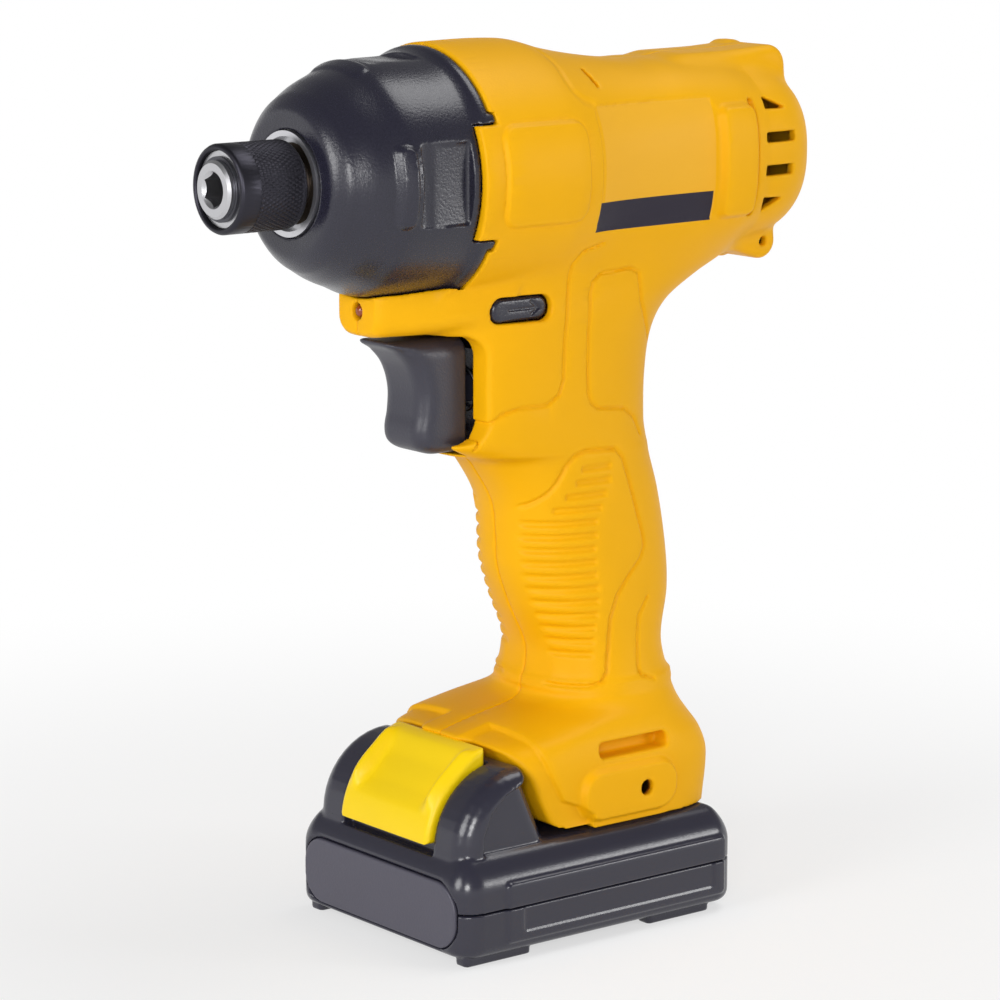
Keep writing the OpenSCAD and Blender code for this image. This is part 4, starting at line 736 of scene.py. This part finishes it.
def make_finishes(colours):
    """Makes every finish once: one for each slot of the record, and three more for the skins."""
    body, black, grey, latch = (tuple(getattr(colours, key)) for key in ("body", "black", "grey", "latch"))
    prints = ((tuple(colours.label), FILM), (tuple(colours.strip), FILM_STRIP))
    FINISHES.update({
        # Satin, so the light fades softly over the curves and the yellow stays deep
        "housing_yellow": moulded("glass_filled_nylon_yellow", body, 0.46, 0.5, 0.025, 0.12, 0.03),
        # The same nylon with a paler film and a dark strip in the seat on the barrel
        "plate_yellow": moulded(
            "glass_filled_nylon_yellow_with_film", body, 0.46, 0.5, 0.025, 0.12, 0.03, prints),
        # Painted light: the body's nylon made paler and more lemon, as the strong low front light shows it;
        # smoother, with a clearer highlight
        "latch_yellow": moulded("glass_filled_nylon_yellow_painted_lit", latch, 0.36, 0.5, 0.02, 0.3, 0.03),
        # Bluish black with a sheen that the grain breaks up
        "black_plastic": moulded("glass_filled_nylon_black", black, 0.28, 0.6, 0.05, 0.5),
        # Smooth, with bright lines along its round edges
        "battery_black": moulded("polished_nylon_black", linear("#2a2936"), 0.22, 0.6, 0.012, 0.5),
        # Dull and a little paler than what is round it
        "plate_grey": moulded("satin_nylon_grey", linear("#484653"), 0.4, 0.5, 0.04, 0.5),
        # Dark grey with a broad soft sheen
        "dark_plastic": moulded("glass_filled_nylon_grey", grey, 0.4, 0.5, 0.05, 0.5),
        # Pale metal with wide soft highlights
        "case_metal": metal("die_cast_aluminium_satin", "#d8d8dc", 0.34),
        # Silver with short streaks of light
        "tool_steel": metal("ground_tool_steel", "#c9c9cc", 0.3),
        # Nearly a mirror
        "bearing_steel": metal("polished_bearing_steel", "#d6d6d8", 0.16),
        # Dark metal that glints only on the points of its knurl
        "sleeve_steel": metal("black_oxide_steel", "#3a3940", 0.4),
        # Grey wire with a line of light along each turn
        "spring_steel": metal("drawn_spring_steel", "#5c5c62", 0.4),
        # Dark heads with a dull glint
        "screw_steel": metal("black_zinc_steel", "#3d3c42", 0.38),
        # Grey with fine lines across, one for each sheet
        "lamination_steel": metal("stacked_electrical_steel", "#8d8d92", 0.42, (0.5, 6.0, 6.0)),
        # Cool silver with a soft shine
        "can_steel": metal("zinc_plated_steel", "#c3c4c8", 0.32),
        # Brown and dull, dark with oil
        "bronze": metal("oil_soaked_bronze", "#4d4136", 0.5),
        # Yellow metal with clear glints
        "brass": metal("turned_brass", "#cfae55", 0.3),
        # Red metal with clear glints
        "copper": metal("bare_copper", "#c77b4a", 0.32),
        # Charcoal, with hardly any shine
        "ferrite": moulded("sintered_ferrite", linear("#2a2a2d"), 0.6, 0.4, 0.03),
        # Black with a greasy sheen
        "carbon": moulded("pressed_graphite", linear("#1f1f20"), 0.5, 0.4, 0.02),
        # Green under a smooth lacquer
        "board": moulded("glass_epoxy_green", linear("#2f6b3a"), 0.35, 0.4, 0.01),
        # Blue film drawn tight, with long highlights
        "cell_wrap": moulded("shrink_sleeve_blue", linear("#3f679f"), 0.28, 0.8, 0.01),
        # Deep amber with a sharp point of light
        "lens": moulded("amber_epoxy_lens", linear("#8a3c12"), 0.12, 0.8, 0.004, 0.6),
    })


# Pieces

def lattice_of(context, low, high, factor=1.0):
    """Lattice between two corners, at the resolution that is set or a factor of it."""
    step = context.scene.driver_sizes.voxel * factor * 1.0
    return lattice(low, high, step)


class DRIVER_OT_finishes(bpy.types.Operator):
    """Make the finishes and put one on every solid"""
    bl_idname = "driver.finishes"
    bl_label = "Finishes"

    def execute(self, context):
        make_finishes(context.scene.driver_colours)
        for part in frame["record"]["subparts"]:
            mesh = NODES[part["node"]].data
            mesh.materials.clear()
            mesh.materials.append(FINISHES[part["material_slot"]])
        return {"FINISHED"}


class DRIVER_OT_housing(bpy.types.Operator):
    """Mould the two halves of the housing"""
    bl_idname = "driver.housing"
    bl_label = "Housing halves"

    def execute(self, context):
        sizes = context.scene.driver_sizes
        axes = lattice_of(context, (30, -31, -145), (157, 1, 29.5))
        x, y, z = axes
        pilot = both(np.hypot(x - LOW_LUG[1][0], z - LOW_LUG[1][1]) - 1.1, y + 6)
        left = skin("housing_left_skin", cut(housing_field(sizes, axes, True), pilot, 0.3), axes, 120000)
        dress(left, "tool", "housing_yellow", "left_housing", "plate_yellow")

        # The right half is drawn on the same side and mirrored
        field = housing_field(sizes, axes, False)
        for place, depth in SCREWS:
            reach = np.hypot(x - place[0], z - place[1])
            field = join(field, thicken(reach - 4.3, slab(-depth - 0.6, y, -4), 0.8), 1.2)
            field = cut(field, both(reach - 3.0, y + depth - 2.0), 0.4)
        right = skin("housing_right_skin", field, axes, 110000)
        co = np.zeros(len(right.data.vertices) * 3, dtype=np.float32)
        right.data.vertices.foreach_get("co", co)
        co[1::3] *= -1
        right.data.vertices.foreach_set("co", co)
        right.data.flip_normals()
        dress(right, "tool", "housing_yellow", "right_housing")
        return {"FINISHED"}


class DRIVER_OT_nose(bpy.types.Operator):
    """Mould the nose cover"""
    bl_idname = "driver.nose"
    bl_label = "Nose cover"

    def execute(self, context):
        axes = lattice_of(context, (17, -28.5, -28.5), (61, 28.5, 28.5))
        x, y, z = axes
        reach = np.hypot(y, z)
        form = meet(cover_side(x, y, z), slab(COVER_FRONT, x, COLLAR), 1.2)

        # A bead and a sunk flat at each side and on top
        for across, out, rise, level in ((z, np.abs(y), 1.3, 23.5), (y, z, 0.4, 24.6)):
            bead = soft_rect(x, across, (30.4, -8.2), (34, 8.6), 1.6)
            form = form - raised(bead, rise, 1.1) * ease((out - 10) / 4)
            floor = level - 0.3 * ease((39.4 - x) / 2.6)
            form = cut(form, both(soft_rect(x, across, (35.8, -8.4), (48, 8.8), 0.8), floor - out), 0.25)

        # Tabs and the lip that hold it in the collar, then its inside and its bore
        tab = both(np.abs(np.abs(z) - 13.2) - 0.95, slab(COLLAR - 1, x, COLLAR + 1),
                   np.abs(reach - 25.9) - 1.3)
        tongue = both(np.abs(z) - 12.2, TONGUE - 0.25 - x, 24.9 - reach)
        lip = both(reach - 24.9, slab(COLLAR - 1, x, COLLAR + 3))
        form = either(without(form, tongue), tab, lip)
        form = without(form, both(reach - np.minimum(cover_radius(x) - 2.3, 23.0), 21 - x))
        form = cut(form, reach - 11.3, 0.4)
        piece = skin("nose_cover_skin", form, axes, 70000)
        dress(piece, "tool", "black_plastic", "nose_cover")
        return {"FINISHED"}


AROUND = 360  # Points round the sleeve
ROW = 0.13  # Spacing of its rings along the knurl
KNURL_SLANT = 0.62
KNURL_DEPTH = 0.26


class DRIVER_OT_sleeve(bpy.types.Operator):
    """Turn and knurl the sleeve of the bit holder"""
    bl_idname = "driver.sleeve"
    bl_label = "Bit sleeve"

    def execute(self, context):
        outer, bore, front, back = 9.4, 8.1, 1.2, 17.6
        start, end = front + 4.4, back - 0.9
        rows = int((end - start) / ROW)
        profile = [
            (front + 2.2, bore), (front + 0.25, bore), (front, bore + 0.3), (front, outer - 0.75),
            (front + 0.2, outer - 0.25), (front + 0.7, outer)]
        profile += [(start + (end - start) * i / rows, outer) for i in range(rows + 1)]
        profile += [
            (back - 0.4, outer - 0.12), (back - 0.1, outer - 0.4), (back, outer - 0.8), (back, bore + 0.1),
            (back - 2, bore)]
        count = round(2 * math.pi * outer / context.scene.driver_sizes.knurl_pitch)
        bm = bmesh.new()
        rings = []
        for px, pr in profile:
            ring = []
            for k in range(AROUND):
                a = 2 * math.pi * k / AROUND
                r = pr
                if start < px < end:
                    turn = (px - start) / outer
                    one = abs(math.sin((a + turn * KNURL_SLANT) * count / 2))
                    two = abs(math.sin((a - turn * KNURL_SLANT) * count / 2))
                    edge = min(1, (px - start) / 0.5, (end - px) / 0.5)
                    r = pr - KNURL_DEPTH * edge * (1 - min(one, two)) ** 2
                ring.append(bm.verts.new((np.array([px, r * math.cos(a), r * math.sin(a)]) + TIP) * MM))
            rings.append(ring)
        bridge(bm, rings + rings[:1])
        piece = smooth_piece("collet_sleeve_skin", bm)
        dress(piece, "sleeve", "sleeve_steel", "collet_sleeve")
        return {"FINISHED"}


class DRIVER_OT_trigger(bpy.types.Operator):
    """Mould the trigger"""
    bl_idname = "driver.trigger"
    bl_label = "Trigger"

    def execute(self, context):
        axes = lattice_of(context, (37, -12, -62), (67, 12, -33), 0.85)
        x, y, z = axes
        front = curve(TRIGGER, -z, 1) - x + 0 * y
        outline = meet(even(front, axes), slab(-60.1, z, -34.8), 1.2)
        form = both(meet(outline, np.abs(y) - 7.95, 4.5), x - 59.3)
        form = without(form, box(x, y, z, (51, -6, -57.6), (60, 6, -37.4)))
        stem = box(x, y, z, (49, -3, -50), (65.5, 3, -44))
        piece = skin("trigger_skin", either(form, stem), axes, 30000)
        dress(piece, "trigger", "dark_plastic", "trigger")
        return {"FINISHED"}


ARROW = (((71, -27.4), (73.2, -28.8)), ((73.2, -28.8), (71, -30.2)), ((65, -28.8), (73, -28.8)))


class DRIVER_OT_selector(bpy.types.Operator):
    """Mould the direction selector"""
    bl_idname = "driver.selector"
    bl_label = "Direction selector"

    def execute(self, context):
        axes = lattice_of(context, (59, -17, -33), (77, 17, -25), 0.7)
        x, y, z = axes
        form = thicken(soft_rect(x, z, (60.5, -31.4), (75.5, -26.2), 2.5), np.abs(y) - 15.6, 1.0)
        form = cut(form, box(x, y, z, (58, -9, -29.2), (78, 9, -20)), 0.3)
        arrow = either(*(stick(x, z, start, end, 0.22) for start, end in ARROW))
        form = form + raised(arrow, 0.4, 0.5) * (np.abs(y) > 12)
        piece = skin("direction_selector_skin", form, axes, 16000)
        dress(piece, "selector", "black_plastic", "direction_selector")
        return {"FINISHED"}


class DRIVER_OT_battery(bpy.types.Operator):
    """Mould the two shells of the battery and its front plate"""
    bl_idname = "driver.battery"
    bl_label = "Battery"

    def execute(self, context):
        axes = lattice_of(context, (39, -32, -157), (120, 32, -125))
        upper = skin("battery_upper_skin", upper_case(axes), axes, 90000)
        dress(upper, "battery", "black_plastic", "battery_upper_case", "battery_black")

        axes = lattice_of(context, (39, -32, -169), (120, 32, -153))
        lower = skin("battery_lower_skin", lower_case(axes), axes, 60000)
        dress(lower, "battery", "black_plastic", "battery_lower_case", "battery_black")

        axes = lattice_of(context, (40, -29, -166), (44, 29, -147), 0.7)
        x, y, z = axes
        form = thicken(soft_rect(y, z, *PLATE), slab(40.8, x, 41.85), 0.35)
        front = skin("battery_plate_skin", form, axes, 14000)
        dress(front, "battery", "dark_plastic", "battery_front_plate", "plate_grey")
        return {"FINISHED"}


class DRIVER_OT_latch(bpy.types.Operator):
    """Mould the battery latch"""
    bl_idname = "driver.latch"
    bl_label = "Battery latch"

    def execute(self, context):
        axes = lattice_of(context, (40.5, -17.5, -145), (61, 17.5, -122.5), 0.7)
        x, y, z = axes
        form = meet(latch_profile(x, z, 0), np.abs(y) - 15.9, 1.4)

        # A lip along each side and a dent between them, on the outside and above the front edge
        upper = ease((z + 137) / 5)
        outside = ease((np.hypot(x - BULL_X, z - LATCH_Z) - 16.6) / 1.2)
        form = form - 1.3 * outside * ease(1 - np.abs(np.abs(y) - 13.4) / 2.2) * upper * ease((57 - x) / 4)
        dent = ease((12.4 - np.abs(y)) / 2.4) * upper * ease((55.5 - x) / 4)
        form = form + 1.4 * outside * dent
        form = without(form, both(np.hypot(x - 54.5, np.abs(y) - 8) - 2.75, z + 129.4))
        piece = skin("battery_latch_skin", form, axes, 30000)
        dress(piece, "latch", "latch_yellow", "battery_latch")
        return {"FINISHED"}


# Solid, body, joint that shortens it, axis, the end that stays (0 low, 1 high), wire radius, turns, travel
SPRINGS = (
    ("collet_spring", "anvil", "collet_slide", 0, 0, 0.45, 4, 4.0),
    ("hammer_spring", "spindle", "hammer_stroke", 0, 1, 1.05, 3, 6.0),
    ("trigger_spring", "tool", "trigger_pull", 0, 1, 0.4, 4, 6.5),
    ("latch_springs", "battery", "latch_press", 2, 0, 0.35, 3, 2.0))
TURN_STEPS = 28  # Rings in a turn of wire
WIRE_STEPS = 10  # Points round the wire


def wind(bm, low, high, centre, axis, across, outer, wire, turns):
    """Winds a round wire between two places on an axis."""
    steps = turns * TURN_STEPS
    rings = []
    for k in range(steps + 1):
        a = 2 * math.pi * k / TURN_STEPS
        level = low + wire + (high - low - 2 * wire) * k / steps
        ring = []
        for i in range(WIRE_STEPS):
            b = 2 * math.pi * i / WIRE_STEPS
            r = outer - wire + wire * math.cos(b)
            point = np.zeros(3)
            point[axis] = level + wire * math.sin(b)
            point[across[0]] = centre[across[0]] + r * math.cos(a)
            point[across[1]] = centre[across[1]] + r * math.sin(a)
            ring.append(bm.verts.new(point * MM))
        rings.append(ring)
    bridge(bm, rings)
    bm.faces.new(rings[0])
    bm.faces.new(rings[-1][::-1])


class DRIVER_OT_springs(bpy.types.Operator):
    """Wind the round wire springs and put each on the body of its solid"""
    bl_idname = "driver.springs"
    bl_label = "Springs"

    def execute(self, context):
        for node, body, joint, axis, stays, wire, turns, travel in SPRINGS:
            low, high = (np.array(corner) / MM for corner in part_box(node))
            centre = (low + high) / 2
            across = [i for i in range(3) if i != axis]
            outer = min((high - low)[across]) / 2
            breadth = (high - low)[across[1]]
            pair = round(breadth / (2 * outer)) > 1
            bm = bmesh.new()
            for side in ((-1, 1) if pair else (0,)):
                middle = centre.copy()
                middle[across[1]] += side * (breadth / 2 - outer)
                wind(bm, low[axis], high[axis], middle, axis, across, outer, wire, turns)
            piece = smooth_piece(node + "_wire", bm)
            dress(piece, body, "spring_steel", node)
            anchor = centre.copy()
            anchor[axis] = (low, high)[stays][axis]
            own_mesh(piece)
        return {"FINISHED"}


# Studio, in metres: name, place, width and power of each lamp
LAMPS = (
    ("key", (-0.66, -0.74, 0.36), 0.3, 3.6),
    ("side", (-1.0, -0.1, 0.45), 0.5, 4.6),
    ("fill", (0.75, -0.85, 0.3), 0.3, 2.4),
    ("top", (0.4, -0.1, 1.0), 0.6, 3.6))
LAMP_AIM = Vector((0, 0, 0.1))
FLOOR_REACH = 8.0
SENSOR_MM = 36
WHITE = (1, 1, 1, 1)


def lay_floor(colour):
    """Matt paper: takes the shadow round the object, and is plain white further out for what looks at it."""
    paper, tree, place = blank("matt_paper")
    fibre = add(tree, "TexNoise", {"Scale": per_metre(6), "Detail": 2.0}, {"Vector": place})
    tint = add(tree, "Mix", {"data_type": "RGBA", 6: rgba(colour, 0.99), 7: rgba(colour)}, {0: fibre})
    matt = add(tree, "BsdfPrincipled", {"Roughness": 0.9, "Specular IOR Level": 0.1},
               {"Base Color": tint.outputs[2]})
    glow = add(tree, "Emission", {"Color": WHITE, "Strength": 1.0})
    away = add(tree, "VectorMath", {"operation": "LENGTH"}, {0: place})
    fade = add(tree, "MapRange", {
        "interpolation_type": "SMOOTHSTEP", "From Min": 0.08, "From Max": 0.34, "To Min": 0.6},
        {0: away.outputs["Value"]})
    bare = add(tree, "Math", {"operation": "MULTIPLY"}, {0: backdrop_rays(tree), 1: fade})
    mixed = add(tree, "MixShader", links={0: bare, 1: matt, 2: glow})
    add(tree, "OutputMaterial", links={"Surface": mixed})
    bm = bmesh.new()
    bmesh.ops.create_grid(bm, x_segments=8, y_segments=8, size=FLOOR_REACH)
    floor = drawn("floor", bm)
    floor.data.materials.append(paper)


def light_studio(scene):
    """Lamps, and a world with a white band low down for what looks at it, pale walls and a dimmer ceiling."""
    scene.world = bpy.data.worlds.new("studio")
    scene.world.use_nodes = True
    tree = scene.world.node_tree
    tree.nodes.clear()
    up = add(tree, "SeparateXYZ", links={0: add(tree, "TexCoord").outputs["Generated"]}).outputs["Z"]
    walls = add(tree, "MapRange", {"From Min": 0.0, "From Max": 0.8, "To Min": 0.42, "To Max": 0.2}, {0: up})
    band = add(tree, "MapRange", {"From Min": 0.14, "From Max": 0.26, "To Min": 0.62, "To Max": 0.0}, {0: up})
    strength = add(tree, "Math", {"operation": "MULTIPLY_ADD"}, {0: band, 1: backdrop_rays(tree), 2: walls})
    sky = add(tree, "Background", {"Color": WHITE}, {"Strength": strength})
    add(tree, "OutputWorld", links={"Surface": sky})
    for name, place, size, power in LAMPS:
        light = bpy.data.lights.new(name, "AREA")
        light.shape = "DISK"
        light.size = size
        light.energy = power
        lamp = linked(name, light)
        lamp.location = place
        lamp.rotation_euler = (LAMP_AIM - Vector(place)).to_track_quat("-Z", "Y").to_euler()


class DRIVER_OT_stage(bpy.types.Operator):
    """Set up the floor, the lights and the camera"""
    bl_idname = "driver.stage"
    bl_label = "Studio"

    def execute(self, context):
        scene = context.scene
        stage = scene.driver_stage
        scene.view_settings.view_transform = "Standard"
        lay_floor(tuple(stage.floor))
        light_studio(scene)
        camera = linked("camera", bpy.data.cameras.new("camera"))
        camera.data.lens = stage.lens
        camera.data.sensor_width = SENSOR_MM
        camera.data.clip_start = 0.05
        camera.location = stage.camera_place
        level = math.cos(stage.pitch)
        look = Vector((
            level * math.cos(stage.heading), level * math.sin(stage.heading), -math.sin(stage.pitch)))
        camera.rotation_euler = look.to_track_quat("-Z", "Y").to_euler()
        scene.camera = camera
        return {"FINISHED"}


class DRIVER_PT_panel(bpy.types.Panel):
    """Shows the sizes, colours and studio settings, and a button for each step"""
    bl_label = "Impact driver"
    bl_idname = "DRIVER_PT_panel"
    bl_space_type = "VIEW_3D"
    bl_region_type = "UI"
    bl_category = "Driver"

    def draw(self, context):
        scene = context.scene
        for group in (scene.driver_sizes, scene.driver_colours, scene.driver_stage):
            column = self.layout.column()
            for key in group.__annotations__:
                column.prop(group, key)
        for operator in OPERATORS:
            self.layout.operator(operator.bl_idname)


OPERATORS = (
    DRIVER_OT_finishes, DRIVER_OT_housing, DRIVER_OT_nose, DRIVER_OT_sleeve, DRIVER_OT_trigger,
    DRIVER_OT_selector, DRIVER_OT_battery, DRIVER_OT_latch, DRIVER_OT_springs, DRIVER_OT_stage)
GROUPS = {"driver_sizes": DriverSizes, "driver_colours": DriverColours, "driver_stage": StageSettings}
CLASSES = (*GROUPS.values(), *OPERATORS, DRIVER_PT_panel)


def register():
    for kind in CLASSES:
        bpy.utils.register_class(kind)
    for name, group in GROUPS.items():
        setattr(bpy.types.Scene, name, PointerProperty(type=group))


def unregister():
    for name in GROUPS:
        delattr(bpy.types.Scene, name)
    for kind in reversed(CLASSES):
        bpy.utils.unregister_class(kind)


def main():
    register()
    bpy.ops.driver.finishes()
    bpy.ops.driver.housing()
    bpy.ops.driver.nose()
    bpy.ops.driver.sleeve()
    bpy.ops.driver.trigger()
    bpy.ops.driver.selector()
    bpy.ops.driver.battery()
    bpy.ops.driver.latch()
    bpy.ops.driver.springs()
    bpy.ops.driver.stage()


if __name__ == "__main__":
    main()
